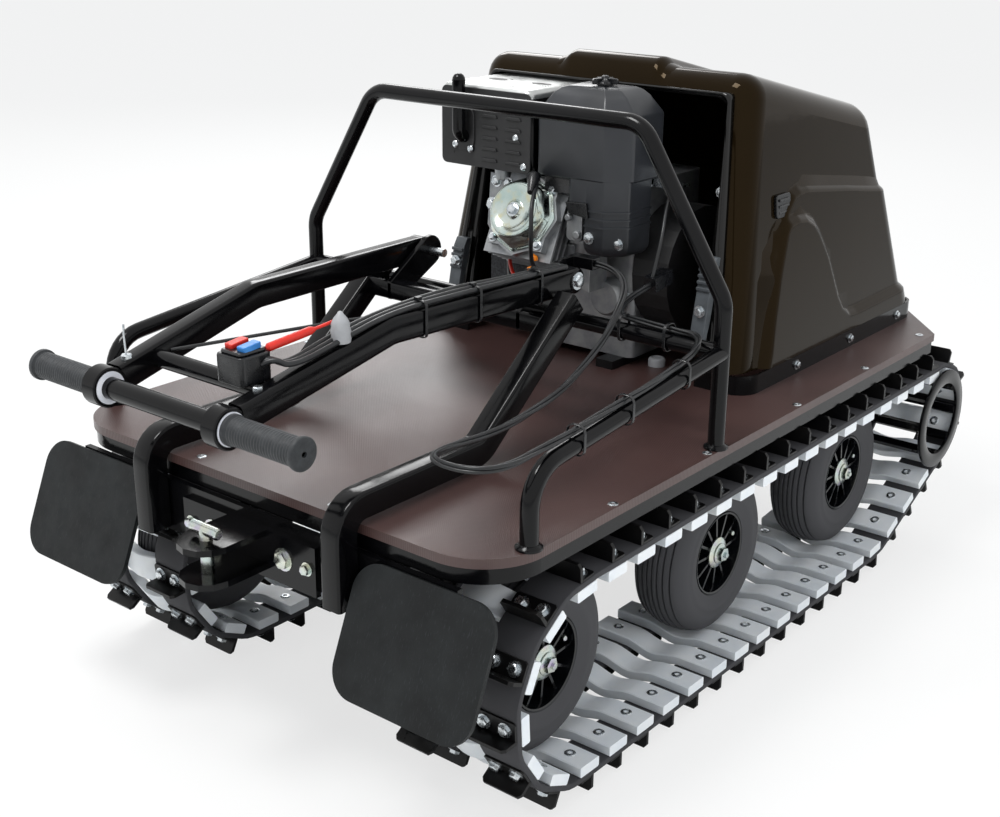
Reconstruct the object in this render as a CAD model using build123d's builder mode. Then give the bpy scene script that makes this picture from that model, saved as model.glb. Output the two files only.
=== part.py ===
"""Tracked snow tug: a low deck on two tracks, an engine under a hood and a fold-up handlebar.

Frame: +X forward, +Y left, +Z up, in millimetres. The origin is on the ground,
midway between the tracks and at the middle of the object's length.
"""

from build123d import *
from math import acos, atan2, cos, degrees, hypot, pi, radians, sin, tan
import os

os.makedirs("parts", exist_ok=True)

SIDES = (("left", 1), ("right", -1))
seat_gap = 0.3  # gap between round pieces that rest in each other
straight_share = 0.001  # bends smaller than this count as straight
sharp_bend_share = 0.4  # bends larger than this get a corner on the belt's outer side

# Tracks: rubber belts, white cross slats and steel lugs
track_center_y = 286.0
belt_offset_y = 68.5  # from the track's centre to each belt's centre
belt_width = 60.0
belt_thickness = 8.0
slat_thickness = 14.0
slat_width = 38.0
slat_count = 43
slat_phase = 8.0  # first slat's place along the loop, from the rear wheel's foot
lug_height = 24.0
lug_shift = 6.0  # from the slat's middle to the upright lug plate
lug_plate = 5.0

# Wheels inside each track, rear to front, and the driving wheel in front
tyre_radius = 114.0  # to the slats it runs on
tyre_half_width = 42.0
tread_blocks = 24  # flat blocks round each tyre
rim_radius = 60.0
rim_half_width = 34.0
rim_web_half = 18.0
hub_radius = 30.0
spoke_count = 12
spoke_thickness = 5.0
nut_sides = 6
axle_nut_radius = 11.0
axle_nut_height = 9.0
rear_wheel_x = -393.5
middle_wheel_x = 7.5
front_wheel_x = 389.5
axle_radius = 12.0
hub_cap_radius = 22.0
hub_cap_length = 6.0
drive_x = 600.5
drive_radius = 70.0  # from the drive axle to the slats
drive_lift = 49.0  # drive axle above the wheel axles
drive_bar_width = 12.0
drive_hoop_sides = 16
drive_bar_count = 8
drive_axle_radius = 15.0
drive_hoop_outer = 84.0
drive_hoop_inner = 60.0
drive_hoop_plate = 6.0
drive_half_width = 103.0
drive_disc_inset = 60.0

slat_top_z = lug_height + belt_thickness + slat_thickness
wheel_path_radius = hypot(tyre_radius + seat_gap, slat_width / 2)
drive_path_radius = hypot(drive_radius, slat_width / 2)
axle_z = slat_top_z + wheel_path_radius
drive_z = axle_z + drive_lift
middle_axle_z = slat_top_z + tyre_radius + seat_gap
WHEEL_PLACES = (  # axle x, axle z
    (rear_wheel_x, axle_z),
    (middle_wheel_x, middle_axle_z),
    (front_wheel_x, axle_z),
)

# Deck: film-faced plywood on a steel edge frame
deck_rear_x = -560.5
deck_front_x = 708.5
deck_half_width = 375.0
deck_thickness = 12.0
deck_top_z = 363.0
deck_corner_radius = 85.0
deck_front_corner = 15.0
deck_chamfer_x = 568.5  # where the front corners start to slant in
deck_nose_half_width = 250.0
edge_height = 20.0
edge_inset = 3.0
edge_width = 25.0
deck_under_z = deck_top_z - deck_thickness
frame_under_z = deck_under_z - edge_height

# Chassis frame below the deck
rail_y = 150.0
rail_width = 30.0
rail_height = 60.0
rail_front_x = 638.5
cross_width = 30.0
hanger_width = 50.0
hanger_plate = 8.0
hanger_corners = 8
bore_gap = 0.05
rear_plate_x = -567.5
rear_plate_thickness = 8.0
rear_plate_height = 72.0
rear_plate_half_width = 330.0
rail_rear_x = rear_plate_x + rear_plate_thickness
HANGERS = tuple((x, z, axle_radius) for x, z in WHEEL_PLACES) + (  # x, z, bore radius
    (drive_x, drive_z, drive_axle_radius),
)
CROSS_PLACES = (-451.5, -191.5, 78.5, 308.5, 528.5)

# Handlebar supports: two bent tubes from the rear edge up to the pivots
support_y = 168.0
support_width = 30.0
support_depth = 34.0
support_rear_x = rear_plate_x - support_depth / 2
support_low_z = 265.0
support_deck_gap = 4.0
support_bend_x = -341.5
support_top_x = -153.5
support_bend_radius = 32.0
support_top_z = 536.0
bridge_x = -183.5
bridge_z = 508.0
bridge_depth = 26.0
pivot_x = -111.5
pivot_z = 550.0
pivot_y = 136.0
pivot_pin_radius = 6.0
pivot_disc_radius = 22.0
ear_thickness = 8.0
stay_rear_x = -100.5  # small stay in front of the right ear that holds the cables
stay_front_x = -62.5
stay_step_x = -80.5
stay_end_y = -150.0
stay_low_z = 558.0
stay_height = 16.0
moving_gap = 5.0

# Guard hoop in front of the engine and the side rails behind it
hoop_x = -96.5
hoop_tube = 11.0
tube_sides = 12
guard_sides = 8
hoop_foot_y = 364.0
hoop_bend_z = 557.0
hoop_top_z = 765.0
hoop_top_y = 232.0
hoop_bend_radius = 45.0
rail_top_z = 491.0
rail_rear_z = 452.0
rail_foot_x = -487.5
rail_bend_radius = 50.0

# Handlebar frame, folded down to the rear
bar_x = -685.5
bar_z = 498.0
bar_half_length = 227.0
bar_radius = 13.0
ring_y = 104.0
ring_radius = 24.0
ring_width = 12.0
bushing_radius = 19.0
bushing_width = 20.0
grip_radius = 17.0
grip_length = 112.0
arm_width = 24.0
arm_depth = 34.0
arm_bend_x = -443.5
arm_bend_z = 554.0
arm_bend_y = 130.0
tie_bar_x = -611.5
tie_bar_depth = 22.0
tie_bar_z = 515.0
pin_head_height = 6.0
grip_wall = 3.0

# Engine
engine_x = 193.5  # crankshaft
engine_z = 508.0
engine_base_z = 376.0
cylinder_tilt = 25.0
cylinder_offset_y = 42.0
crankcase_half_x = 88.0
crankcase_half_y = 95.0
cylinder_length = 200.0
cylinder_half = 62.0
fin_thickness = 4.0
fin_pitch = 12.0
fin_count = 8
cover_radius = 58.0
cover_depth = 28.0
cleaner_rear_x = 20.5
cleaner_top_z = 780.0
cleaner_low_z = 545.0
cleaner_left_y = 26.0
cleaner_right_y = -124.0
cleaner_depth = 105.0
muffler_left_y = 202.0
muffler_right_y = 32.0
muffler_top_z = 766.0
muffler_low_z = 649.0
muffler_depth = 150.0
shield_thickness = 6.0
crankcase_corner = 12.0
base_spread_share = 0.7
cover_sides = 8
cover_taper = 18.0
cleaner_corner = 22.0
cleaner_low_left_y = -28.0
cleaner_low_depth = 84.7
cleaner_step_z = 655.0
cleaner_notch_z = 614.0
cleaner_notch_y = -57.3
cleaner_rib = 4.0
cleaner_rib_pitch = 11.0
cleaner_rib_count = 3
cleaner_rib_z = 590.0
knob_radius = 20.0
knob_arm_count = 3
knob_arm = 9.0
knob_height = 14.0
knob_y = -54.0
knob_x = 52.5
shield_gap = 8.0
shield_slot = 5.0
shield_slot_length = 34.0
shield_slot_pitch = 16.0
shield_slot_count = 5
vent_oval = 34.0
pipe_radius = 10.0
pipe_y = 155.0
pipe_x = 0.5
pipe_low_z = 694.0
pipe_top_z = 786.0
carburettor_left_y = -28.0
carburettor_right_y = -57.0
carburettor_low_z = 551.0
carburettor_top_z = 613.0
carburettor_length = 62.0
bowl_radius = 15.0
bowl_height = 22.0
head_plate = 12.0
head_margin = 4.0
head_bolt_angle = 45.0
head_bolt_radius = 6.0
head_bolt_sides = 6
fan_radius = 95.0
fan_depth = 60.0

# Controls and cables
switch_x = -624.5
switch_y = -70.0
switch_length = 46.0
switch_width = 44.0
switch_height = 40.0
rocker_length = 24.0
rocker_width = 12.0
rocker_height = 8.0
cable_radius = 3.5
cable_rest_gaps = 3
cable_sides = 6
cable_bend_radius = 60.0
arm_cable_rear_x = -600.5
arm_cable_front_x = -127.5
CABLE_OFFSETS = (-8.0, 0.0, 8.0)
loop_radius = 5.0
loop_run_share = 0.45  # of the shorter run, taken up by each bend
LOOP_ROUTE = (  # x, y, z of the cable bundle from the pivot to the connector
    (-71.5, -150.3, 566.0),
    (-71.5, -210.0, 566.0),
    (-150.5, -228.0, 500.0),
    (-280.5, -252.0, 462.0),
    (-420.5, -262.0, 452.0),
    (-556.5, -260.0, 464.0),
    (-556.5, -364.0, 470.0),
    (-440.5, -364.0, 473.6),
    (-96.5, -364.0, 507.4),
    (-96.5, -262.0, 507.4),
    (-84.5, -176.0, 507.6),
    (21.5, -176.0, 522.0),
)
connector_length = 44.0
connector_width = 20.0

# Hood
hood_rear_low_x = 91.5
hood_front_low_x = 660.5
hood_rear_high_x = 162.5
hood_front_high_x = 531.0
hood_low_half = 299.0
hood_high_half = 240.0
hood_low_z = 391.0
hood_wall = 4.0
hood_top_rear_z = 806.0
hood_top_front_z = 735.0
hood_top_front_x = 468.5
hood_edge_radius = 34.0
inner_chamfer_share = 0.75  # inner corners are cut flat, at this share of the outer radius
hood_open_half_low = 214.0
hood_open_half_high = 210.0
hood_open_top_z = 780.0
tier_step = 8.0  # each lower tier of the hood stands out this much
tier_edge_radius = 22.0
rim_band_depth = 10.0  # raised band round the hood's rear opening
rim_band_inset = 36.0  # from the opening to the band
rim_upright_share = 0.5  # an edge is upright where its direction has at least this share
bulge_half_width = 75.0
bulge_spread = 22.0
bulge_height = 13.0
bulge_front_x = 500.0
bulge_nose_x = 545.0
MIDDLE_TIER = (  # side outline above the front face: x, z
    (568.5, 590.0),
    (274.5, 630.0),
    (228.5, 600.0),
    (160.5, 420.0),
)
LOW_TIER = (  # side outline with the raised arch: x, z
    (650.5, 420.0),
    (419.5, 417.0),
    (366.5, 480.0),
    (322.5, 555.0),
    (283.5, 590.0),
    (231.5, 590.0),
    (192.5, 560.0),
    (161.5, 456.0),
    (148.5, 400.0),
)
latch_y = 226.0
latch_width = 24.0
latch_thickness = 12.0
latch_stand = 20.0
LATCHES = ((1, 435.0, 515.0), (-1, 435.0, 555.0))  # side, low z, top z
skirt_thickness = 4.0
hinge_leaf = 3.0
hinge_setback = 7.0  # hinge pin in front of the hood's front wall
hinge_pin_radius = 3.0
knuckle_share = 0.4
leaf_height = 26.0
hinge_radius = 6.0
hinge_length = 60.0
hinge_y = 180.0

# Mudflaps
flap_inner_y = 190.0
flap_outer_y = 396.0
flap_top_z = 330.0
flap_low_z = 184.0
flap_top_x = -570.6
flap_low_x = -631.5
flap_thickness = 6.0
flap_corner = 36.0

# Tow coupling
hitch_z = 322.0
hitch_plate_half = 118.0
hitch_length = 62.0
hitch_jaw_height = 60.0
hitch_jaw_width = 70.0
hitch_neck_half = 23.3
hitch_pin_radius = 8.0
hitch_jaw_gap = 22.0


def loop_runs():
    """The closed path through the slats' edges: arcs about the wheels and straight runs between."""
    circles = (
        (rear_wheel_x, axle_z, wheel_path_radius),
        (front_wheel_x, axle_z, wheel_path_radius),
        (drive_x, drive_z, drive_path_radius),
    )
    normals = []
    for (x1, z1, radius1), (x2, z2, radius2) in zip(circles, circles[1:] + circles[:1]):
        reach = hypot(x2 - x1, z2 - z1)
        normals.append(atan2(z2 - z1, x2 - x1) - acos((radius1 - radius2) / reach))
    runs = []
    for index, (x, z, radius) in enumerate(circles):
        turn = (normals[index] - normals[index - 1]) % (2 * pi)
        runs.append((x, z, radius, normals[index - 1], turn * radius))
        next_x, next_z, next_radius = circles[(index + 1) % len(circles)]
        normal = normals[index]
        begin_x = x + radius * cos(normal)
        begin_z = z + radius * sin(normal)
        end_x = next_x + next_radius * cos(normal)
        end_z = next_z + next_radius * sin(normal)
        runs.append((begin_x, begin_z, 0, normal, hypot(end_x - begin_x, end_z - begin_z)))
    return runs


def loop_point(reach):
    """The point at a distance along the path, counted from behind the rear wheel's foot."""
    runs = loop_runs()
    reach %= sum(length for *_, length in runs)
    for x, z, radius, angle, length in runs:
        if reach <= length:
            break
        reach -= length
    if radius:
        angle += reach / radius
        return x + radius * cos(angle), z + radius * sin(angle)
    return x - reach * sin(angle), z + reach * cos(angle)


loop_length = sum(length for *_, length in loop_runs())
slat_pitch = loop_length / slat_count
lug_base = slat_thickness + belt_thickness
LUG_CORNERS = (  # height above the slat's inner face, place along the belt
    (lug_base, lug_shift),
    (lug_base + lug_height, lug_shift),
    (lug_base + lug_height, lug_shift + lug_plate),
    (lug_base, lug_shift + lug_plate),
)
stations = []
for number in range(slat_count):
    reach = slat_phase + number * slat_pitch
    x1, z1 = loop_point(reach - slat_width / 2)
    x2, z2 = loop_point(reach + slat_width / 2)
    stations.append(((x1 + x2) / 2, (z1 + z2) / 2, degrees(atan2(x1 - x2, z2 - z1))))


def bend_corner(index, height):
    """The corner between a slat and the next, at a height above their inner faces, and the bend."""
    x1, z1, angle1 = stations[index]
    x2, z2, angle2 = stations[(index + 1) % slat_count]
    turn1 = radians(angle1)
    turn2 = radians(angle2)
    first_x = x1 + height * cos(turn1)
    first_z = z1 + height * sin(turn1)
    step_x = x2 + height * cos(turn2) - first_x
    step_z = z2 + height * sin(turn2) - first_z
    bend = sin(turn2 - turn1)
    if abs(bend) < straight_share:
        reach = hypot(step_x, step_z) / 2
    else:
        reach = (step_x * cos(turn2) + step_z * sin(turn2)) / bend
    return (first_x - reach * sin(turn1), first_z + reach * cos(turn1)), abs(bend)


def belt_inside():
    """Corners of a belt's inner side, which lies flat on each slat."""
    return [bend_corner(index, slat_thickness)[0] for index in range(slat_count)]


def belt_outside():
    """Corners of a belt's outer side with the upright plate of each lug."""
    corners = []
    for index, (x, z, angle) in enumerate(stations):
        turn = radians(angle)
        for height, along in LUG_CORNERS:
            corners.append(
                (x + height * cos(turn) - along * sin(turn), z + height * sin(turn) + along * cos(turn))
            )
        corner, bend = bend_corner(index, lug_base)
        if bend > sharp_bend_share:
            corners.append(corner)
    return corners


print("track length", round(loop_length, 1), "pitch", round(slat_pitch, 2))

# Track belts, lugs and slats
slat_end = belt_offset_y + belt_width / 2
with BuildPart() as one_slat:
    with BuildSketch(Plane.XY):
        with Locations((slat_thickness / 2, 0)):
            Rectangle(slat_thickness, 2 * slat_end)
    extrude(amount=slat_width / 2, both=True)

for side_name, side in SIDES:
    belt_ys = [side * track_center_y + place * belt_offset_y for place in (-1, 1)]
    with BuildPart() as belts:
        for belt_y in belt_ys:
            with BuildSketch(Plane.XZ.offset(-belt_y)):
                Polygon(*belt_outside(), align=None)
                Polygon(*belt_inside(), align=None, mode=Mode.SUBTRACT)
            extrude(amount=belt_width / 2, both=True)
    belts.part.label = f"track_belts_{side_name}"
    export_step(belts.part, f"parts/track_belts_{side_name}.step")

    slat_places = []
    for x, z, angle in stations:
        turn = radians(angle)
        slat_places.append(
            Plane(
                origin=(x, side * track_center_y, z),
                x_dir=(cos(turn), 0, sin(turn)),
                z_dir=(-sin(turn), 0, cos(turn)),
            ).location
        )
    with BuildPart() as slats:
        with Locations(*slat_places):
            add(one_slat.part)
    slats.part.label = f"track_slats_{side_name}"
    export_step(slats.part, f"parts/track_slats_{side_name}.step")

# Wheels: tyres, rims with hub caps, axles
with BuildPart() as tyres:
    for side_name, side in SIDES:
        for wheel_x, wheel_z in WHEEL_PLACES:
            with BuildSketch(Plane.XZ.offset(-side * track_center_y)):
                with Locations((wheel_x, wheel_z)):
                    RegularPolygon(tyre_radius, tread_blocks)
                    RegularPolygon(rim_radius, tread_blocks, major_radius=False, mode=Mode.SUBTRACT)
            extrude(amount=tyre_half_width, both=True)
tyres.part.label = "tyres"
export_step(tyres.part, "parts/tyres.step")


with BuildPart() as rims:
    for side_name, side in SIDES:
        for wheel_x, wheel_z in WHEEL_PLACES:
            wheel_plane = Plane.XZ.offset(-side * track_center_y)
            with BuildSketch(wheel_plane):
                with Locations((wheel_x, wheel_z)):
                    RegularPolygon(rim_radius - seat_gap, tread_blocks, major_radius=False)
            extrude(amount=rim_web_half, both=True)
            with BuildSketch(wheel_plane):
                with Locations((wheel_x, wheel_z)):
                    RegularPolygon(hub_radius, spoke_count)
                    with PolarLocations(rim_radius / 2, spoke_count):
                        Rectangle(rim_radius - 2 * spoke_thickness, spoke_thickness)
            extrude(amount=-side * rim_half_width)
rims.part.label = "rims"
export_step(rims.part, "parts/rims.step")

with BuildPart() as caps:
    for side_name, side in SIDES:
        outer_face_plane = Plane.XZ.offset(-side * (track_center_y + rim_half_width))
        for wheel_x, wheel_z in WHEEL_PLACES:
            with BuildSketch(outer_face_plane):
                with Locations((wheel_x, wheel_z)):
                    RegularPolygon(hub_cap_radius, tube_sides)
            extrude(amount=-side * hub_cap_length)
            with BuildSketch(outer_face_plane):
                with Locations((wheel_x, wheel_z)):
                    RegularPolygon(axle_nut_radius, nut_sides)
            extrude(amount=-side * (hub_cap_length + axle_nut_height))
caps.part.label = "hub_caps"
export_step(caps.part, "parts/hub_caps.step")

# Driving wheels: two hoops joined by cross bars that pull the slats, on a disc
with BuildPart() as drive:
    for side_name, side in SIDES:
        for hoop_side in (-1, 1):
            hoop_y = side * track_center_y + hoop_side * drive_half_width
            with BuildSketch(Plane.XZ.offset(-hoop_y)):
                with Locations((drive_x, drive_z)):
                    RegularPolygon(drive_hoop_outer, drive_hoop_sides)
                    RegularPolygon(drive_hoop_inner, drive_hoop_sides, mode=Mode.SUBTRACT)
            extrude(amount=drive_hoop_plate / 2, both=True)
        with BuildSketch(Plane.XZ.offset(-side * (track_center_y - drive_disc_inset))):
            with Locations((drive_x, drive_z)):
                RegularPolygon(drive_radius - seat_gap, drive_hoop_sides)
        extrude(amount=drive_hoop_plate / 2, both=True)
        with BuildSketch(Plane.XZ.offset(-side * track_center_y)):
            with Locations((drive_x, drive_z)):
                with PolarLocations(drive_radius - drive_bar_width / 2 - seat_gap, drive_bar_count):
                    Rectangle(drive_bar_width, drive_bar_width)
        extrude(amount=drive_half_width, both=True)
drive.part.label = "drive_cages"
export_step(drive.part, "parts/drive_cages.step")

with BuildPart() as axles:
    for wheel_x, wheel_z in WHEEL_PLACES:
        with BuildSketch(Plane.XZ):
            with Locations((wheel_x, wheel_z)):
                RegularPolygon(axle_radius, tube_sides)
        extrude(amount=track_center_y - rim_web_half, both=True)
    with BuildSketch(Plane.XZ):
        with Locations((drive_x, drive_z)):
            RegularPolygon(drive_axle_radius, tube_sides)
    extrude(amount=track_center_y - drive_disc_inset - drive_hoop_plate / 2, both=True)
axles.part.label = "axles"
export_step(axles.part, "parts/axles.step")

# Frame rails, cross members and axle hangers
with BuildPart() as frame:
    for side_name, side in SIDES:
        with BuildSketch(Plane.XY.offset(frame_under_z)):
            with Locations(((rail_rear_x + rail_front_x) / 2, side * rail_y)):
                Rectangle(rail_front_x - rail_rear_x, rail_width)
        extrude(amount=-rail_height)
        for hanger_x, hanger_z, axle_size in HANGERS:
            with BuildSketch(Plane.XZ.offset(-side * rail_y)):
                with Locations((hanger_x, hanger_z)):
                    Rectangle(
                        hanger_width,
                        frame_under_z - rail_height - hanger_z,
                        align=(Align.CENTER, Align.MIN),
                    )
                    RegularPolygon(hanger_width / 2, hanger_corners)
                    RegularPolygon(axle_size, hanger_corners, major_radius=False, mode=Mode.SUBTRACT)
            extrude(amount=hanger_plate / 2, both=True)
    with BuildSketch(Plane.XY.offset(frame_under_z)):
        for cross_x in CROSS_PLACES:
            with Locations((cross_x, 0)):
                Rectangle(cross_width, 2 * (deck_half_width - edge_inset - edge_width))
    extrude(amount=edge_height)
frame.part.label = "frame"
export_step(frame.part, "parts/frame.step")

with BuildPart() as rear_plate:
    with BuildSketch(Plane.YZ.offset(rear_plate_x)):
        with Locations((0, frame_under_z - rear_plate_height / 2)):
            Rectangle(2 * rear_plate_half_width, rear_plate_height)
    extrude(amount=rear_plate_thickness)
rear_plate.part.label = "rear_plate"
export_step(rear_plate.part, "parts/rear_plate.step")

# Deck board and the steel edge below it
with BuildSketch() as deck_outline:
    with BuildLine():
        Polyline(
            (deck_rear_x, -deck_half_width),
            (deck_chamfer_x, -deck_half_width),
            (deck_front_x, -deck_nose_half_width),
            (deck_front_x, deck_nose_half_width),
            (deck_chamfer_x, deck_half_width),
            (deck_rear_x, deck_half_width),
            close=True,
        )
    make_face()
    fillet(deck_outline.vertices().group_by(Axis.X)[0], radius=deck_corner_radius)
    fillet(deck_outline.vertices().group_by(Axis.X)[-1], radius=deck_front_corner)

with BuildPart() as deck:
    with BuildSketch(Plane.XY.offset(deck_under_z)):
        add(deck_outline.sketch)
    extrude(amount=deck_thickness)
deck.part.label = "deck"
export_step(deck.part, "parts/deck.step")

with BuildPart() as deck_edge:
    with BuildSketch(Plane.XY.offset(frame_under_z)):
        offset(deck_outline.sketch, amount=-edge_inset)
        offset(deck_outline.sketch, amount=-edge_inset - edge_width, mode=Mode.SUBTRACT)
    extrude(amount=edge_height)
deck_edge.part.label = "deck_edge"
export_step(deck_edge.part, "parts/deck_edge.step")

# Mudflaps behind the tracks
flap_length = hypot(flap_top_x - flap_low_x, flap_top_z - flap_low_z)
with BuildPart() as flaps:
    for side_name, side in SIDES:
        flap_plane = Plane(
            origin=(flap_top_x, side * (flap_inner_y + flap_outer_y) / 2, flap_top_z),
            x_dir=(0, 1, 0),
            z_dir=(flap_top_z - flap_low_z, 0, flap_low_x - flap_top_x),
        )
        with BuildSketch(flap_plane):
            with Locations((0, -flap_length / 2)):
                RectangleRounded(flap_outer_y - flap_inner_y, flap_length, flap_corner)
        extrude(amount=flap_thickness / 2, both=True)
flaps.part.label = "mudflaps"
export_step(flaps.part, "parts/mudflaps.step")

# Handlebar supports with their bridge and pivot ears
support_deck_z = deck_top_z + support_deck_gap + support_depth / 2
with BuildPart() as supports:
    for side_name, side in SIDES:
        with BuildLine() as support_path:
            FilletPolyline(
                (support_rear_x, side * support_y, support_low_z),
                (support_rear_x, side * support_y, support_deck_z),
                (support_bend_x, side * support_y, support_deck_z),
                (support_top_x, side * support_y, support_top_z),
                radius=support_bend_radius,
            )
        with BuildSketch(Plane.XY.offset(support_low_z)):
            with Locations((support_rear_x, side * support_y)):
                Rectangle(support_depth, support_width)
        sweep()
    with BuildSketch(Plane.XZ):
        with Locations((bridge_x, bridge_z)):
            Rectangle(bridge_depth, bridge_depth)
    extrude(amount=support_y - support_width / 2, both=True)
    for side_name, side in SIDES:
        ear_y = side * (pivot_y - arm_width / 2 - moving_gap - ear_thickness / 2)
        with BuildSketch(Plane.XZ.offset(-ear_y)):
            with Locations((pivot_x, pivot_z)):
                RegularPolygon(pivot_disc_radius, tube_sides)
            with Locations((bridge_x, bridge_z)):
                Rectangle(bridge_depth, bridge_depth)
            make_hull()
            with Locations((pivot_x, pivot_z)):
                Circle(pivot_pin_radius, mode=Mode.SUBTRACT)
        extrude(amount=ear_thickness / 2, both=True)
    stay_y = pivot_y - arm_width / 2 - moving_gap
    with BuildSketch(Plane.XY.offset(stay_low_z)):
        Polygon(
            (stay_rear_x, ear_thickness - stay_y),
            (stay_front_x, ear_thickness - stay_y),
            (stay_front_x, stay_end_y),
            (stay_step_x, stay_end_y),
            (stay_step_x, -stay_y),
            (stay_rear_x, -stay_y),
            align=None,
        )
    extrude(amount=stay_height)
supports.part.label = "handlebar_supports"
export_step(supports.part, "parts/handlebar_supports.step")

with BuildPart() as pins:
    for side_name, side in SIDES:
        pin_start = pivot_y - arm_width / 2 - moving_gap - 2 * ear_thickness
        with BuildSketch(Plane.XZ.offset(-side * pin_start)):
            with Locations((pivot_x, pivot_z)):
                Circle(pivot_pin_radius)
        extrude(amount=-side * (arm_width + moving_gap + 2 * ear_thickness + pin_head_height))
pins.part.label = "pivot_pins"
export_step(pins.part, "parts/pivot_pins.step")

# Guard hoop, side rails and the cross tube between the posts
with BuildPart() as guard:
    with BuildLine():
        FilletPolyline(
            (hoop_x, -hoop_foot_y, deck_top_z),
            (hoop_x, -hoop_foot_y, hoop_bend_z),
            (hoop_x, -hoop_top_y, hoop_top_z),
            (hoop_x, hoop_top_y, hoop_top_z),
            (hoop_x, hoop_foot_y, hoop_bend_z),
            (hoop_x, hoop_foot_y, deck_top_z),
            radius=hoop_bend_radius,
        )
    with BuildSketch(Plane.XY.offset(deck_top_z)):
        with Locations((hoop_x, -hoop_foot_y)):
            RegularPolygon(hoop_tube, guard_sides)
    sweep()
    for side_name, side in SIDES:
        with BuildLine():
            FilletPolyline(
                (rail_foot_x, side * hoop_foot_y, deck_top_z),
                (rail_foot_x, side * hoop_foot_y, rail_rear_z),
                (hoop_x, side * hoop_foot_y, rail_top_z),
                radius=rail_bend_radius,
            )
        with BuildSketch(Plane.XY.offset(deck_top_z)):
            with Locations((rail_foot_x, side * hoop_foot_y)):
                RegularPolygon(hoop_tube, guard_sides)
        sweep()
    with BuildSketch(Plane.XZ):
        with Locations((hoop_x, rail_top_z)):
            RegularPolygon(hoop_tube, guard_sides)
    extrude(amount=hoop_foot_y, both=True)
guard.part.label = "guard_rails"
export_step(guard.part, "parts/guard_rails.step")

# Handlebar frame: two arms with end rings, joined by a tie tube
with BuildPart() as handle:
    for side_name, side in SIDES:
        arm_run = hypot(bar_x - pivot_x, ring_y - pivot_y)
        bend_run = arm_run * (arm_bend_x - pivot_x) / (bar_x - pivot_x)
        arm_plane = Plane(
            origin=(pivot_x, side * pivot_y, pivot_z),
            x_dir=(bar_x - pivot_x, side * (ring_y - pivot_y), 0),
            z_dir=(side * (ring_y - pivot_y), pivot_x - bar_x, 0),
        )
        up = 1 if arm_plane.y_dir.Z > 0 else -1
        points = (
            (0, 0, arm_depth / 2),
            (bend_run, up * (arm_bend_z - pivot_z), arm_depth / 2),
            (arm_run, up * (bar_z - pivot_z), ring_radius),
        )
        for first, second in zip(points, points[1:]):
            with BuildSketch(arm_plane):
                for along, height, radius in (first, second):
                    with Locations((along, height)):
                        RegularPolygon(radius, tube_sides)
                make_hull()
            extrude(amount=arm_width / 2, both=True)
        with BuildSketch(Plane.XZ.offset(-side * ring_y)):
            with Locations((bar_x, bar_z)):
                RegularPolygon(ring_radius, tube_sides)
        extrude(amount=arm_width / 2, both=True)
        with BuildSketch(Plane.XZ.offset(-side * ring_y)):
            with Locations((bar_x, bar_z)):
                RegularPolygon(bushing_radius, tube_sides)
        extrude(amount=arm_width, both=True, mode=Mode.SUBTRACT)
        with BuildSketch(Plane.XZ.offset(-side * pivot_y)):
            with Locations((pivot_x, pivot_z)):
                Circle(pivot_pin_radius + bore_gap)
        extrude(amount=arm_width, both=True, mode=Mode.SUBTRACT)
    with BuildSketch(Plane.XZ):
        with Locations((tie_bar_x, tie_bar_z)):
            RegularPolygon(tie_bar_depth / 2, tube_sides)
    extrude(amount=ring_y, both=True)
handle.part.label = "handlebar_frame"
export_step(handle.part, "parts/handlebar_frame.step")

with BuildPart() as bushings:
    for side_name, side in SIDES:
        with BuildSketch(Plane.XZ.offset(-side * ring_y)):
            with Locations((bar_x, bar_z)):
                RegularPolygon(bushing_radius, tube_sides)
                Circle(bar_radius + bore_gap, mode=Mode.SUBTRACT)
        extrude(amount=bushing_width / 2, both=True)
bushings.part.label = "bar_bushings"
export_step(bushings.part, "parts/bar_bushings.step")

with BuildPart() as bar:
    with BuildSketch(Plane.XZ):
        with Locations((bar_x, bar_z)):
            Circle(bar_radius)
    extrude(amount=bar_half_length - grip_wall, both=True)
bar.part.label = "handlebar"
export_step(bar.part, "parts/handlebar.step")

with BuildPart() as grips:
    for side_name, side in SIDES:
        with BuildSketch(Plane.XZ.offset(-side * bar_half_length)):
            with Locations((bar_x, bar_z)):
                RegularPolygon(grip_radius, drive_hoop_sides)
        extrude(amount=side * grip_length)
        with BuildSketch(Plane.XZ.offset(-side * (bar_half_length - grip_wall))):
            with Locations((bar_x, bar_z)):
                Circle(bar_radius)
        extrude(amount=side * grip_length, mode=Mode.SUBTRACT)
grips.part.label = "grips"
export_step(grips.part, "parts/grips.step")

# Tow coupling on the rear plate
with BuildPart() as hitch:
    with BuildSketch(Plane.YZ.offset(rear_plate_x)):
        with Locations((0, hitch_z - rear_plate_height / 2)):
            Rectangle(2 * hitch_plate_half, rear_plate_height - hitch_pin_radius)
    extrude(amount=-rear_plate_thickness)
    jaw_start = rear_plate_x - rear_plate_thickness
    for jaw in (-1, 1):
        with BuildSketch(Plane.XY.offset(hitch_z - hitch_jaw_height / 2 + jaw * hitch_jaw_gap)):
            with Locations((jaw_start - hitch_length / 2, 0)):
                Rectangle(hitch_length, hitch_jaw_width)
            with Locations((jaw_start - hitch_length, 0)):
                RegularPolygon(hitch_jaw_width / 2, tube_sides)
                RegularPolygon(hitch_pin_radius + seat_gap, tube_sides, mode=Mode.SUBTRACT)
        extrude(amount=rear_plate_thickness / 2, both=True)
hitch.part.label = "tow_coupling"
export_step(hitch.part, "parts/tow_coupling.step")

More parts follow.
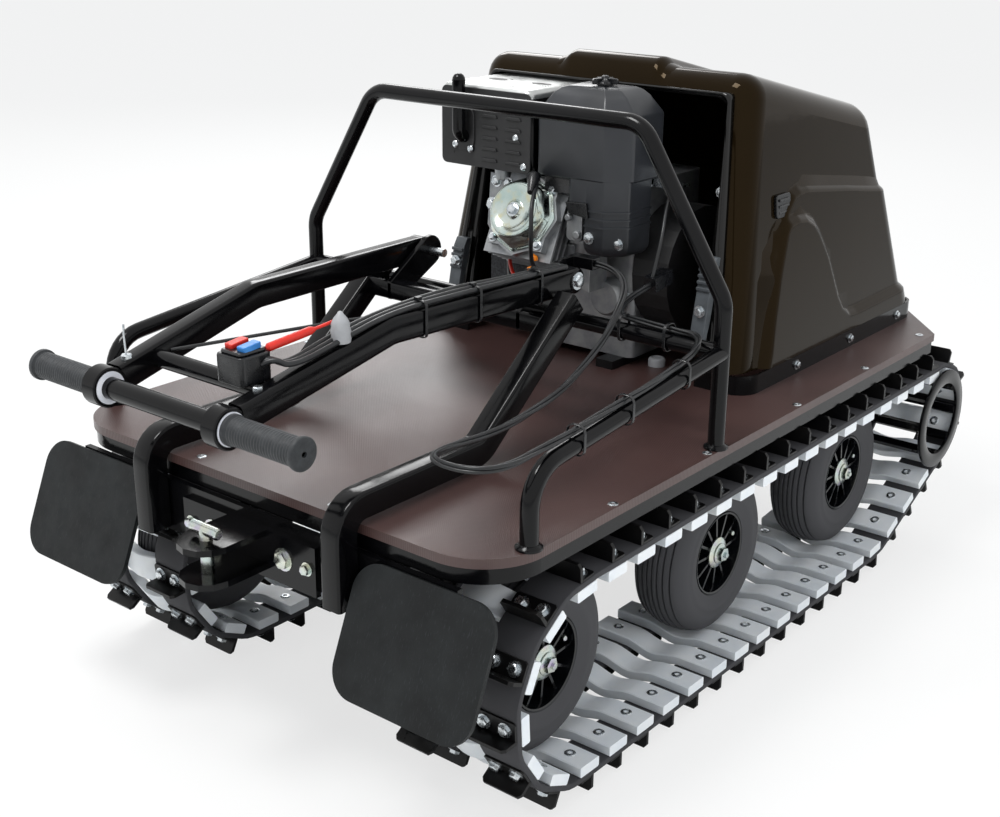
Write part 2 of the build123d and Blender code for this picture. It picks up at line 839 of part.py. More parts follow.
with BuildPart() as hitch_pin:
    pin_x = rear_plate_x - rear_plate_thickness - hitch_length
    pin_mid_z = hitch_z - hitch_jaw_height / 2
    with BuildSketch(Plane.XY.offset(pin_mid_z)):
        with Locations((pin_x, 0)):
            RegularPolygon(hitch_pin_radius, tube_sides)
    extrude(amount=hitch_jaw_gap + 2 * rear_plate_thickness, both=True)
    with BuildSketch(Plane.XZ):
        with Locations((pin_x, pin_mid_z + hitch_jaw_gap + 2 * rear_plate_thickness)):
            RegularPolygon(hitch_pin_radius, tube_sides)
    extrude(amount=hitch_neck_half, both=True)
hitch_pin.part.label = "tow_pin"
export_step(hitch_pin.part, "parts/tow_pin.step")

# Engine block: crankcase, slanted cylinder with cooling fins, head
cylinder_plane = Plane(
    origin=(engine_x, cylinder_offset_y, engine_z),
    x_dir=(0, 1, 0),
    z_dir=(-cos(radians(cylinder_tilt)), 0, sin(radians(cylinder_tilt))),
)
with BuildPart() as engine_base:
    for side_name, side in SIDES:
        with BuildSketch(Plane.XY.offset(deck_top_z)):
            with Locations((engine_x, side * crankcase_half_y * base_spread_share)):
                Rectangle(2 * crankcase_half_x + 2 * rail_width, rail_width)
        extrude(amount=engine_base_z - deck_top_z)
engine_base.part.label = "engine_base"
export_step(engine_base.part, "parts/engine_base.step")

with BuildPart() as engine:
    with BuildSketch(Plane.XY.offset(engine_base_z)):
        with Locations((engine_x, 0)):
            RectangleRounded(2 * crankcase_half_x, 2 * crankcase_half_y, crankcase_corner)
    extrude(amount=2 * (engine_z - engine_base_z))
    with BuildSketch(cylinder_plane):
        Rectangle(2 * cylinder_half - 2 * fin_pitch, 2 * cylinder_half - 2 * fin_pitch)
    extrude(amount=cylinder_length)
    for number in range(1, fin_count):
        with BuildSketch(cylinder_plane.offset(cylinder_length - number * fin_pitch)):
            Rectangle(2 * cylinder_half, 2 * cylinder_half)
        extrude(amount=-fin_thickness)
    with BuildSketch(cylinder_plane.offset(cylinder_length)):
        RegularPolygon(cover_radius + head_margin, cover_sides)
        with PolarLocations(cover_radius, cover_sides // 2, start_angle=head_bolt_angle):
            RegularPolygon(head_bolt_radius, head_bolt_sides)
    extrude(amount=-head_plate)
engine.part.label = "engine_block"
export_step(engine.part, "parts/engine_block.step")

with BuildPart() as valve_cover:
    with BuildSketch(cylinder_plane.offset(cylinder_length)):
        RegularPolygon(cover_radius, cover_sides)
    extrude(amount=cover_depth, taper=cover_taper)
valve_cover.part.label = "valve_cover"
export_step(valve_cover.part, "parts/valve_cover.step")

CLEANER_BOXES = (  # low z, top z, left y, right y, depth
    (cleaner_low_z, cleaner_notch_z, cleaner_notch_y, cleaner_right_y, cleaner_low_depth),
    (cleaner_notch_z, cleaner_step_z, cleaner_low_left_y, cleaner_right_y, cleaner_low_depth),
    (cleaner_step_z, cleaner_top_z, cleaner_left_y, cleaner_right_y, cleaner_depth),
)
with BuildPart() as cleaner:
    for low_z, top_z, left_y, right_y, depth in CLEANER_BOXES:
        with BuildSketch(Plane.XY.offset(low_z)):
            with Locations((cleaner_rear_x + depth / 2, (left_y + right_y) / 2)):
                Rectangle(depth, left_y - right_y)
        extrude(amount=top_z - low_z)
    chamfer(cleaner.faces().sort_by(Axis.Z)[-1].edges(), length=cleaner_corner)
    chamfer(cleaner.faces().sort_by(Axis.Z)[0].edges(), length=cleaner_corner / 2)
    with BuildSketch(Plane.YZ.offset(cleaner_rear_x)):
        for number in range(cleaner_rib_count):
            rib_z = cleaner_rib_z + number * cleaner_rib_pitch
            with Locations(((cleaner_notch_y + cleaner_right_y) / 2, rib_z)):
                Rectangle(cleaner_notch_y - cleaner_right_y - cleaner_corner, cleaner_rib)
    extrude(amount=-cleaner_rib)
cleaner.part.label = "air_cleaner"
export_step(cleaner.part, "parts/air_cleaner.step")

with BuildPart() as knob:
    with BuildSketch(Plane.XY.offset(cleaner_top_z)):
        with Locations((cleaner_rear_x + knob_x, knob_y)):
            RegularPolygon(knob_arm, tube_sides)
            with PolarLocations(0, knob_arm_count):
                Rectangle(2 * knob_radius, knob_arm)
    extrude(amount=knob_height)
knob.part.label = "cleaner_knob"
export_step(knob.part, "parts/cleaner_knob.step")

# Carburettor between the cylinder head and the air cleaner, with its float bowl
with BuildPart() as carburettor:
    carburettor_y = (carburettor_left_y + carburettor_right_y) / 2
    with BuildSketch(Plane.XY.offset(carburettor_low_z)):
        with Locations((cleaner_rear_x + carburettor_length / 2, carburettor_y)):
            Rectangle(carburettor_length, carburettor_left_y - carburettor_right_y)
    extrude(amount=carburettor_top_z - carburettor_low_z - seat_gap)
    with BuildSketch(Plane.XY.offset(carburettor_low_z)):
        with Locations((cleaner_rear_x + carburettor_length / 2, carburettor_y)):
            RegularPolygon(bowl_radius, tube_sides)
    extrude(amount=-bowl_height)
carburettor.part.label = "carburettor"
export_step(carburettor.part, "parts/carburettor.step")

with BuildPart() as muffler:
    with BuildSketch(Plane.XY.offset(muffler_low_z)):
        with Locations(
            (cleaner_rear_x + muffler_depth / 2, (muffler_left_y + muffler_right_y) / 2)
        ):
            RectangleRounded(
                muffler_depth - shield_thickness, muffler_left_y - muffler_right_y, cleaner_corner
            )
    extrude(amount=muffler_top_z - muffler_low_z)
    with BuildSketch(Plane.YZ.offset(pipe_x)):
        with Locations((pipe_y, pipe_low_z)):
            RegularPolygon(pipe_radius, guard_sides)
    extrude(amount=muffler_depth / 2)
    with BuildSketch(Plane.XY.offset(pipe_low_z - pipe_radius)):
        with Locations((pipe_x, pipe_y)):
            RegularPolygon(pipe_radius, guard_sides)
    extrude(amount=pipe_top_z - pipe_low_z + pipe_radius)
muffler.part.label = "muffler"
export_step(muffler.part, "parts/muffler.step")

# Heat shield: a folded plate over the muffler's rear and top, with louvres and two oval holes
shield_x = cleaner_rear_x + shield_thickness / 2 - shield_gap
shield_top_z = muffler_top_z + seat_gap
shield_middle_y = (muffler_left_y + muffler_right_y) / 2
shield_width = muffler_left_y - muffler_right_y
with BuildPart() as shield:
    with BuildSketch(Plane.XZ.offset(-muffler_right_y)):
        Polygon(
            (shield_x, muffler_low_z),
            (shield_x + hinge_leaf, muffler_low_z),
            (shield_x + hinge_leaf, shield_top_z),
            (cleaner_rear_x + muffler_depth, shield_top_z),
            (cleaner_rear_x + muffler_depth, shield_top_z + hinge_leaf),
            (shield_x, shield_top_z + hinge_leaf),
            align=None,
        )
    extrude(amount=-shield_width)
    with BuildSketch(Plane.YZ.offset(shield_x)):
        with Locations((pipe_y, (pipe_low_z + shield_top_z) / 2)):
            Rectangle(2 * pipe_radius + 2 * seat_gap, shield_top_z - pipe_low_z + 2 * pipe_radius)
        for number in range(shield_slot_count):
            slot_z = muffler_low_z + (number + 1) * shield_slot_pitch
            with Locations((muffler_right_y + shield_slot_length, slot_z)):
                Rectangle(shield_slot_length, shield_slot)
    extrude(amount=hinge_leaf, mode=Mode.SUBTRACT)
    with BuildSketch(Plane.XY.offset(shield_top_z)):
        with Locations((cleaner_rear_x + muffler_depth / 2, shield_middle_y)):
            with GridLocations(0, shield_width / 2, 1, 2):
                Rectangle(vent_oval / 2, vent_oval)
    extrude(amount=hinge_leaf, mode=Mode.SUBTRACT)
shield.part.label = "muffler_shield"
export_step(shield.part, "parts/muffler_shield.step")

with BuildPart() as fan:
    with BuildSketch(Plane.XZ.offset(crankcase_half_y)):
        with Locations((engine_x, engine_z)):
            RegularPolygon(fan_radius, 2 * tube_sides)
    extrude(amount=fan_depth)
fan.part.label = "fan_housing"
export_step(fan.part, "parts/fan_housing.step")

# Hood: a tapered shell in three tiers, open below and at the rear, on a skirt strip
roof_slope = atan2(hood_top_rear_z - hood_top_front_z, hood_top_front_x - hood_rear_high_x)
hood_mid_low_x = (hood_rear_low_x + hood_front_low_x) / 2
roof_run = hood_front_high_x - hood_rear_high_x
roof_front_z = hood_top_rear_z - roof_run * tan(roof_slope)
upper_front_low_x = hood_front_low_x - 2 * tier_step
upper_low_half = hood_low_half - 2 * tier_step
front_lean = (upper_front_low_x - hood_front_high_x) / (roof_front_z - hood_low_z)
side_lean = (upper_low_half - hood_high_half) / (hood_top_rear_z - hood_low_z)
rear_lean = (hood_rear_high_x - hood_rear_low_x) / (hood_top_rear_z - hood_low_z)


def front_line(stand, height):
    """The x of the hood's leaning front face at a height, standing out from the upper tier."""
    return upper_front_low_x + stand - front_lean * (height - hood_low_z)


def rear_line(height):
    """The x of the hood's leaning rear face at a height."""
    return hood_rear_low_x + rear_lean * (height - hood_low_z)


band_top_z = hood_top_rear_z - rim_band_inset / 2
shells = []
for inset in (0, hood_wall):
    low_half = upper_low_half - inset
    high_half = hood_high_half - inset
    with BuildPart() as shell:
        with BuildSketch(Plane.XZ):
            Polygon(
                (hood_rear_low_x + inset, hood_low_z),
                (upper_front_low_x - inset, hood_low_z),
                (hood_front_high_x - inset, roof_front_z - inset),
                (hood_rear_high_x + inset, hood_top_rear_z - inset),
                align=None,
            )
        extrude(amount=low_half, both=True)
        with BuildSketch(Plane.YZ):
            Polygon(
                (-low_half, hood_low_z),
                (low_half, hood_low_z),
                (high_half, hood_top_rear_z),
                (-high_half, hood_top_rear_z),
                align=None,
            )
        extrude(amount=hood_front_low_x, mode=Mode.INTERSECT)
        upper = [edge for edge in shell.edges() if edge.center().Z > hood_low_z + seat_gap]
        if inset:
            chamfer(upper, length=hood_edge_radius * inner_chamfer_share)
        else:
            fillet(upper, radius=hood_edge_radius)
    shells.append(shell.part)

TIERS = (  # how far it stands out, side outline, height of its upper front edge
    (tier_step, MIDDLE_TIER, MIDDLE_TIER[0][1]),
    (2 * tier_step, LOW_TIER, LOW_TIER[0][1]),
)
tiers = []
for stand, outline, edge_z in TIERS:
    half = upper_low_half + stand
    with BuildPart() as tier:
        with BuildSketch(Plane.XZ):
            Polygon(
                (rear_line(hood_low_z) + hood_wall, hood_low_z),
                (front_line(stand, hood_low_z), hood_low_z),
                (front_line(stand, edge_z), edge_z),
                *outline,
                align=None,
            )
        extrude(amount=half, both=True)
        with BuildSketch(Plane.YZ):
            Polygon(
                (-half, hood_low_z),
                (half, hood_low_z),
                (half - side_lean * (hood_top_rear_z - hood_low_z), hood_top_rear_z),
                (side_lean * (hood_top_rear_z - hood_low_z) - half, hood_top_rear_z),
                align=None,
            )
        extrude(amount=hood_front_low_x, mode=Mode.INTERSECT)
        corners = [
            edge
            for edge in tier.edges().filter_by(lambda e: abs(e.tangent_at(0).Z) > rim_upright_share)
            if edge.center().X > front_line(0, edge_z)
        ]
        fillet(corners, radius=tier_edge_radius)
    tiers.append(tier.part)

bulge_top_z = hood_top_rear_z + bulge_height
bulge_front_z = bulge_top_z - (bulge_front_x - hood_rear_high_x) * tan(roof_slope)
with BuildPart() as bulge:
    with BuildSketch(Plane.XZ):
        Polygon(
            (hood_rear_high_x, hood_top_rear_z - hood_edge_radius),
            (hood_rear_high_x, bulge_top_z),
            (bulge_front_x, bulge_front_z),
            (bulge_nose_x, roof_front_z - hood_edge_radius),
            align=None,
        )
    extrude(amount=bulge_half_width + bulge_spread, both=True)
    with BuildSketch(Plane.YZ):
        Polygon(
            (-bulge_half_width - bulge_spread, roof_front_z - hood_edge_radius),
            (bulge_half_width + bulge_spread, roof_front_z - hood_edge_radius),
            (bulge_half_width, hood_top_rear_z + bulge_height),
            (-bulge_half_width, hood_top_rear_z + bulge_height),
            align=None,
        )
    extrude(amount=hood_front_low_x, mode=Mode.INTERSECT)

with BuildPart() as band:
    with BuildSketch(Plane.XZ):
        Polygon(
            (rear_line(hood_low_z) - rim_band_depth, hood_low_z),
            (rear_line(hood_low_z) + rim_band_depth, hood_low_z),
            (rear_line(band_top_z) + rim_band_depth, band_top_z),
            (rear_line(band_top_z) - rim_band_depth, band_top_z),
            align=None,
        )
    extrude(amount=upper_low_half, both=True)
    with BuildSketch(Plane.YZ):
        Polygon(
            (-upper_low_half, hood_low_z),
            (upper_low_half, hood_low_z),
            (hood_high_half, hood_top_rear_z),
            (-hood_high_half, hood_top_rear_z),
            align=None,
        )
        offset(amount=-rim_band_inset / 2)
        Polygon(
            (-hood_open_half_low - rim_band_inset, hood_low_z),
            (hood_open_half_low + rim_band_inset, hood_low_z),
            (hood_open_half_high + rim_band_depth, hood_open_top_z),
            (-hood_open_half_high - rim_band_depth, hood_open_top_z),
            align=None,
            mode=Mode.SUBTRACT,
        )
    extrude(amount=hood_front_low_x, mode=Mode.INTERSECT)

with BuildPart() as hood:
    add(shells[0])
    for tier in tiers:
        add(tier)
    add(bulge.part)
    add(band.part)
    add(shells[1], mode=Mode.SUBTRACT)
    with BuildSketch(Plane.YZ.offset(hood_rear_low_x - 2 * rim_band_depth)):
        Polygon(
            (-hood_open_half_low, hood_low_z),
            (-hood_open_half_high, hood_open_top_z),
            (hood_open_half_high, hood_open_top_z),
            (hood_open_half_low, hood_low_z),
            align=None,
        )
    extrude(amount=hood_rear_high_x - hood_rear_low_x + 2 * hood_edge_radius, mode=Mode.SUBTRACT)
hood.part.label = "hood"
export_step(hood.part, "parts/hood.step")

# Rubber latches beside the hood's rear opening
with BuildPart() as latches:
    for side, low_z, top_z in LATCHES:
        with BuildSketch(Plane.XZ.offset(-side * (latch_y - latch_width / 2))):
            Polygon(
                (rear_line(low_z) - latch_stand - latch_thickness, low_z),
                (rear_line(low_z) - latch_stand, low_z),
                (rear_line(low_z + latch_width) - rim_band_depth - seat_gap, low_z + latch_width),
                (rear_line(top_z) - rim_band_depth - seat_gap, top_z),
                (rear_line(top_z) - latch_stand - latch_thickness, top_z),
                align=None,
            )
        extrude(amount=-side * latch_width)
latches.part.label = "hood_latches"
export_step(latches.part, "parts/hood_latches.step")

with BuildPart() as skirt:
    with BuildSketch(Plane.XY.offset(deck_top_z)):
        for inset, mode in ((0, Mode.ADD), (skirt_thickness, Mode.SUBTRACT)):
            with Locations((hood_mid_low_x, 0)):
                RectangleRounded(
                    hood_front_low_x - hood_rear_low_x - 2 * inset,
                    2 * (hood_low_half - inset),
                    hood_edge_radius - inset,
                    mode=mode,
                )
        with Locations((hood_rear_low_x, 0)):
            Rectangle(hood_edge_radius * 2, 2 * hood_open_half_low, mode=Mode.SUBTRACT)
    extrude(amount=hood_low_z - seat_gap - deck_top_z)
skirt.part.label = "hood_skirt"
export_step(skirt.part, "parts/hood_skirt.step")

# Hood hinges: leaves on the hood's front wall, knuckles and pins on deck brackets
front_slope = atan2(upper_front_low_x - hood_front_high_x, roof_front_z - hood_low_z)
hinge_x = hood_front_low_x + hinge_setback * cos(front_slope)
hinge_z = hood_low_z + hinge_setback * sin(front_slope)
knuckle_half = hinge_length * knuckle_share / 2
with BuildPart() as hinge_base:
    for side_name, side in SIDES:
        hinge_plane = Plane.XZ.offset(-side * hinge_y)
        with BuildSketch(hinge_plane):
            with Locations((hinge_x, hinge_z)):
                RegularPolygon(hinge_radius, tube_sides)
            with Locations((hinge_x + hinge_radius / 2, (deck_top_z + hinge_z) / 2)):
                Rectangle(hinge_radius, hinge_z - deck_top_z)
        extrude(amount=knuckle_half, both=True)
        with BuildSketch(hinge_plane):
            with Locations((hinge_x, hinge_z)):
                Circle(hinge_pin_radius)
        extrude(amount=hinge_length / 2, both=True)
hinge_base.part.label = "hinge_brackets"
export_step(hinge_base.part, "parts/hinge_brackets.step")

with BuildPart() as hood_hinges:
    for side_name, side in SIDES:
        leaf_plane = Plane(
            origin=(hood_front_low_x, side * hinge_y, hood_low_z),
            x_dir=(0, 1, 0),
            z_dir=(cos(front_slope), 0, sin(front_slope)),
        )
        with BuildSketch(leaf_plane):
            with Locations((0, leaf_height / 2)):
                Rectangle(hinge_length, leaf_height)
        extrude(amount=hinge_leaf)
        with BuildSketch(Plane.XZ.offset(-side * hinge_y)):
            with Locations((hinge_x, hinge_z)):
                RegularPolygon(hinge_radius, tube_sides)
        extrude(amount=hinge_length / 2, both=True)
        with BuildSketch(Plane.XZ.offset(-side * hinge_y)):
            with Locations((hinge_x, hinge_z)):
                RegularPolygon(hinge_radius + 2 * seat_gap, tube_sides)
        extrude(amount=knuckle_half + seat_gap, both=True, mode=Mode.SUBTRACT)
        with BuildSketch(Plane.XZ.offset(-side * hinge_y)):
            with Locations((hinge_x, hinge_z)):
                Circle(hinge_pin_radius + bore_gap)
        extrude(amount=hinge_length, both=True, mode=Mode.SUBTRACT)
hood_hinges.part.label = "hood_hinges"
export_step(hood_hinges.part, "parts/hood_hinges.step")

# Switch box on the tie tube
arm_y_run = (pivot_y - ring_y) / (pivot_x - bar_x)
with BuildPart() as switches:
    with BuildSketch(Plane.XY.offset(tie_bar_z + tie_bar_depth / 2 + seat_gap)):
        with Locations((switch_x, switch_y)):
            Rectangle(switch_length, switch_width)
    extrude(amount=switch_height)
    with BuildSketch(Plane.XY.offset(tie_bar_z + tie_bar_depth / 2 + switch_height)):
        with Locations((switch_x, switch_y)):
            with GridLocations(0, rocker_length, 1, 2):
                Rectangle(rocker_length, rocker_width)
    extrude(amount=rocker_height)
switches.part.label = "switch_box"
export_step(switches.part, "parts/switch_box.step")

# Control cables along the right arm
def arm_top(x):
    """Height of the right arm's upper side at a place along it."""
    if x > arm_bend_x:
        return pivot_z + (arm_bend_z - pivot_z) * (pivot_x - x) / (pivot_x - arm_bend_x) + arm_depth / 2
    share = (arm_bend_x - x) / (arm_bend_x - bar_x)
    return arm_bend_z + arm_depth / 2 + share * (bar_z + ring_radius - arm_bend_z - arm_depth / 2)


with BuildPart() as cables:
    for cable_offset in CABLE_OFFSETS:
        rest = cable_radius + cable_rest_gaps * seat_gap
        places = []
        for x in (arm_cable_rear_x, arm_bend_x, arm_cable_front_x):
            places.append((x, cable_offset - ring_y - arm_y_run * (x - bar_x), arm_top(x) + rest))
        with BuildLine() as cable_line:
            FilletPolyline(*places, radius=cable_bend_radius)
        with BuildSketch(Plane(origin=cable_line.line @ 0, z_dir=cable_line.line % 0)):
            RegularPolygon(cable_radius, cable_sides)
        sweep()
cables.part.label = "arm_cables"
export_step(cables.part, "parts/arm_cables.step")


def bend_radii(route, share):
    """The radius of each bend of a route, as large as its two runs allow."""
    radii = []
    for before, corner, after in zip(route, route[1:], route[2:]):
        first = Vector(*corner) - Vector(*before)
        second = Vector(*after) - Vector(*corner)
        half_turn = radians(first.get_angle(second)) / 2
        radii.append(share * min(first.length, second.length) / tan(half_turn))
    return radii


# The free loop from the pivot back along the right rail, over the cross tube, to a connector
loop_radii = bend_radii(LOOP_ROUTE, loop_run_share)
print("cable loop radii", [round(radius) for radius in loop_radii])
with BuildPart() as cable_loop:
    with BuildLine() as loop_line:
        FilletPolyline(*LOOP_ROUTE, radius=loop_radii)
    with BuildSketch(Plane(origin=loop_line.line @ 0, z_dir=loop_line.line % 0)):
        RegularPolygon(loop_radius, cable_sides)
    sweep()
loop_reach = sum(edge.length for edge in loop_line.edges())
print("cable loop length", round(loop_reach), "section", round(cable_loop.part.volume / loop_reach, 1))
cable_loop.part.label = "cable_loop"
export_step(cable_loop.part, "parts/cable_loop.step")

with BuildPart() as connector:
    connector_plane = Plane(origin=loop_line.line @ 1, z_dir=loop_line.line % 1)
    with BuildSketch(connector_plane.offset(seat_gap)):
        Rectangle(connector_width, connector_width)
    extrude(amount=connector_length)
connector.part.label = "wire_connector"
export_step(connector.part, "parts/wire_connector.step")
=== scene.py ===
"""Looks of the tracked snow tug: finishes, dressed frame nodes and the pieces that replace plain solids.

Lengths are written in millimetres and turned to metres when a mesh is made.
"""

import logging
from dataclasses import dataclass, field
from enum import Enum
from math import acos, atan2, cos, hypot, pi, radians, sin, tan

import bmesh
import bpy
from mathutils import Matrix, Vector

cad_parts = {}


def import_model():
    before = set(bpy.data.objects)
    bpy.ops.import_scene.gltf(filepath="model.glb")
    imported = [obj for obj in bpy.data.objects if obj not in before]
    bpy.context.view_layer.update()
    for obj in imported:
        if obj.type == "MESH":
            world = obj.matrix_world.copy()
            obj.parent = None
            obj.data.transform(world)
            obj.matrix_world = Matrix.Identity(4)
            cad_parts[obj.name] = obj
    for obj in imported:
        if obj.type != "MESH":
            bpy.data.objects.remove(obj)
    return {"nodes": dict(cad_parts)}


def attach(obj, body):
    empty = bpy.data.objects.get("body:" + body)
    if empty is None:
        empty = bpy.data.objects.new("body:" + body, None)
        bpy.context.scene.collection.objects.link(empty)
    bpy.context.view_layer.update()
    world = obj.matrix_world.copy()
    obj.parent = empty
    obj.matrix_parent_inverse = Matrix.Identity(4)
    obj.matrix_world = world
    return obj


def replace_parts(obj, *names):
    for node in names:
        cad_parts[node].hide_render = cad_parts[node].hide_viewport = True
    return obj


LOG = logging.getLogger("snow_tug")
MM = 0.001
IMAGE_WIDTH = 1000.0
SIDES = (("left", 1), ("right", -1))


class Body(Enum):
    """The moving bodies of the frame."""

    CHASSIS = "chassis"
    ARMS = "handlebar_frame"
    BAR = "handlebar"
    HOOD = "hood"


class Edge(Enum):
    """How a piece's edges are finished, with the bevel width in millimetres."""

    SHARP = 0.0
    FINE = 0.5
    SOFT = 1.2
    ROUND = 2.5


# ---------------------------------------------------------------- finishes


def linear(code: str) -> tuple[float, float, float, float]:
    """Turn an sRGB hex colour to a linear one.

    Args:
        code: six hex digits, such as "a0b0c0".

    Returns:
        Red, green and blue in linear light, and an alpha of one.
    """
    parts = [int(code[index:index + 2], 16) / 255 for index in (0, 2, 4)]
    red, green, blue = [p / 12.92 if p <= 0.04045 else ((p + 0.055) / 1.055) ** 2.4 for p in parts]
    return red, green, blue, 1.0


def add_node(tree: bpy.types.NodeTree, kind: str, settings: dict, links: dict) -> bpy.types.Node:
    """Add a shader node.

    Args:
        tree: the material's node tree.
        kind: the node's type name.
        settings: values by attribute name, or by input name or number.
        links: source sockets by input name or number.

    Returns:
        The new node.
    """
    node = tree.nodes.new(kind)
    for name, value in settings.items():
        if isinstance(name, str) and hasattr(node, name):
            setattr(node, name, value)
        else:
            node.inputs[name].default_value = value
    for name, source in links.items():
        tree.links.new(source, node.inputs[name])
    return node


def noise(tree: bpy.types.NodeTree, place: bpy.types.NodeSocket, scale: float, detail: float) -> bpy.types.NodeSocket:
    """Add a noise texture.

    Args:
        tree: the material's node tree.
        place: the socket of coordinates, in metres.
        scale: patches to a metre.
        detail: how many finer layers it has.

    Returns:
        The socket of its grey value.
    """
    return add_node(tree, "ShaderNodeTexNoise", {"Scale": scale, "Detail": detail}, {"Vector": place}).outputs["Fac"]


def spread(tree: bpy.types.NodeTree, value: bpy.types.NodeSocket, source: tuple, target: tuple) -> bpy.types.NodeSocket:
    """Stretch one range of a value to another.

    Args:
        tree: the material's node tree.
        value: the value's socket.
        source: low and high end of the range that is used.
        target: low and high end of the result.

    Returns:
        The socket of the result.
    """
    return add_node(tree, "ShaderNodeMapRange", dict(enumerate((*source, *target), 1)), {0: value}).outputs[0]


def tinted(
    tree: bpy.types.NodeTree, share: bpy.types.NodeSocket, base: str | bpy.types.NodeSocket, colour: str
) -> bpy.types.NodeSocket:
    """Mix a colour over another.

    Args:
        tree: the material's node tree.
        share: the socket of the second colour's share.
        base: the first colour, as a hex colour or a socket.
        colour: the second colour, as a hex colour.

    Returns:
        The colour socket.
    """
    settings, links = {"data_type": "RGBA", 7: linear(colour)}, {0: share}
    if isinstance(base, str):
        settings[6] = linear(base)
    else:
        links[6] = base
    return add_node(tree, "ShaderNodeMix", settings, links).outputs[2]


def maths(
    tree: bpy.types.NodeTree, operation: str, first: bpy.types.NodeSocket, second: bpy.types.NodeSocket | float = 0.0
) -> bpy.types.NodeSocket:
    """Add a sum of one or two values.

    Args:
        tree: the node tree.
        operation: the sum's name.
        first: the first value's socket.
        second: the second value, as a number or a socket.

    Returns:
        The socket of the result.
    """
    settings, links = {"operation": operation}, {0: first}
    if isinstance(second, float):
        settings[1] = second
    else:
        links[1] = second
    return add_node(tree, "ShaderNodeMath", settings, links).outputs[0]


@dataclass(frozen=True)
class Finish:
    """A mottled, slightly rough surface, the ground for every finish here."""

    name: str
    colour: str
    second: str
    slot: str
    mottle_mm: float = 60.0
    rough_low: float = 0.4
    rough_high: float = 0.5
    metallic: float = 0.0
    grain_mm: float = 2.0
    grain_depth_mm: float = 0.02
    sheen: float = 0.0
    subsurface: float = 0.0
    ior: float = 1.5
    gleam: str = "ffffff"

    def pattern(self, tree: bpy.types.NodeTree, place: bpy.types.NodeSocket) -> bpy.types.NodeSocket:
        """The colour over the surface: two tones mixed in soft patches.

        Args:
            tree: the material's node tree.
            place: the socket of the object's own coordinates, in metres.

        Returns:
            The colour socket.
        """
        patches = noise(tree, place, 1 / (self.mottle_mm * MM), 6.0)
        return tinted(tree, spread(tree, patches, (0.35, 0.7), (0.0, 1.0)), self.colour, self.second)

    def relief(self, tree: bpy.types.NodeTree, place: bpy.types.NodeSocket) -> bpy.types.NodeSocket:
        """The height of the surface's fine grain.

        Args:
            tree: the material's node tree.
            place: the socket of the object's own coordinates, in metres.

        Returns:
            The height socket, from zero to one.
        """
        return noise(tree, place, 1 / (self.grain_mm * MM), 3.0)

    def build(self) -> bpy.types.Material:
        """Make the material once, or return the one that is there.

        Returns:
            The material.
        """
        found = bpy.data.materials.get(self.name)
        if found:
            return found
        material = bpy.data.materials.new(self.name)
        material.use_nodes = True
        tree = material.node_tree
        shader = tree.nodes["Principled BSDF"]
        place = add_node(tree, "ShaderNodeTexCoord", {}, {}).outputs["Object"]
        tree.links.new(self.pattern(tree, place), shader.inputs["Base Color"])
        wear = noise(tree, place, 3 / (self.mottle_mm * MM), 5.0)
        rough = spread(tree, wear, (0.3, 0.7), (self.rough_low, self.rough_high))
        tree.links.new(rough, shader.inputs["Roughness"])
        settings = {"Strength": 1.0, "Distance": self.grain_depth_mm * MM}
        bump = add_node(tree, "ShaderNodeBump", settings, {"Height": self.relief(tree, place)})
        tree.links.new(bump.outputs[0], shader.inputs["Normal"])
        shader.inputs["Metallic"].default_value = self.metallic
        shader.inputs["Sheen Weight"].default_value = self.sheen
        shader.inputs["Subsurface Weight"].default_value = self.subsurface
        if not self.metallic:
            shader.inputs["IOR"].default_value = self.ior
            shader.inputs["Specular Tint"].default_value = linear(self.gleam)
        if self.subsurface:
            shader.inputs["Subsurface Radius"].default_value = (0.004, 0.004, 0.005)
        return material


@dataclass(frozen=True)
class MeshFacedPly(Finish):
    """Film-faced plywood pressed against wire cloth, so it has a fine square mesh."""

    wire_mm: float = 3.2  # the real mesh is about half this, drawn coarser so that it shows

    def relief(self, tree: bpy.types.NodeTree, place: bpy.types.NodeSocket) -> bpy.types.NodeSocket:
        """The pressed mesh: two sets of ridges that cross at right angles.

        Args:
            tree: the material's node tree.
            place: the socket of the object's own coordinates, in metres.

        Returns:
            The height socket.
        """
        split = add_node(tree, "ShaderNodeSeparateXYZ", {}, {0: place})
        ridges = 2 * pi / (self.wire_mm * MM)
        waves = [maths(tree, "SINE", maths(tree, "MULTIPLY", split.outputs[axis], ridges)) for axis in (0, 1)]
        return maths(tree, "MULTIPLY", *waves)


@dataclass(frozen=True)
class ScratchedRubber(Finish):
    """Sheet rubber with pale scuffs and short scratches in all directions."""

    scratch: str = "6a7074"
    scratch_mm: float = 9.0

    def pattern(self, tree: bpy.types.NodeTree, place: bpy.types.NodeSocket) -> bpy.types.NodeSocket:
        """Mottled rubber with thin pale lines where noise passes through its middle.

        Args:
            tree: the material's node tree.
            place: the socket of the object's own coordinates, in metres.

        Returns:
            The colour socket.
        """
        colour = super().pattern(tree, place)
        for turn, stretch in ((0.6, 7.0), (2.1, 9.0)):
            settings = {"Rotation": (turn, turn / 2, turn), "Scale": (1.0, stretch, 1.0)}
            drawn = add_node(tree, "ShaderNodeMapping", settings, {0: place}).outputs[0]
            line = spread(tree, noise(tree, drawn, 1 / (self.scratch_mm * MM), 2.0), (0.64, 0.76), (0.0, 0.55))
            colour = tinted(tree, line, colour, self.scratch)
        return colour


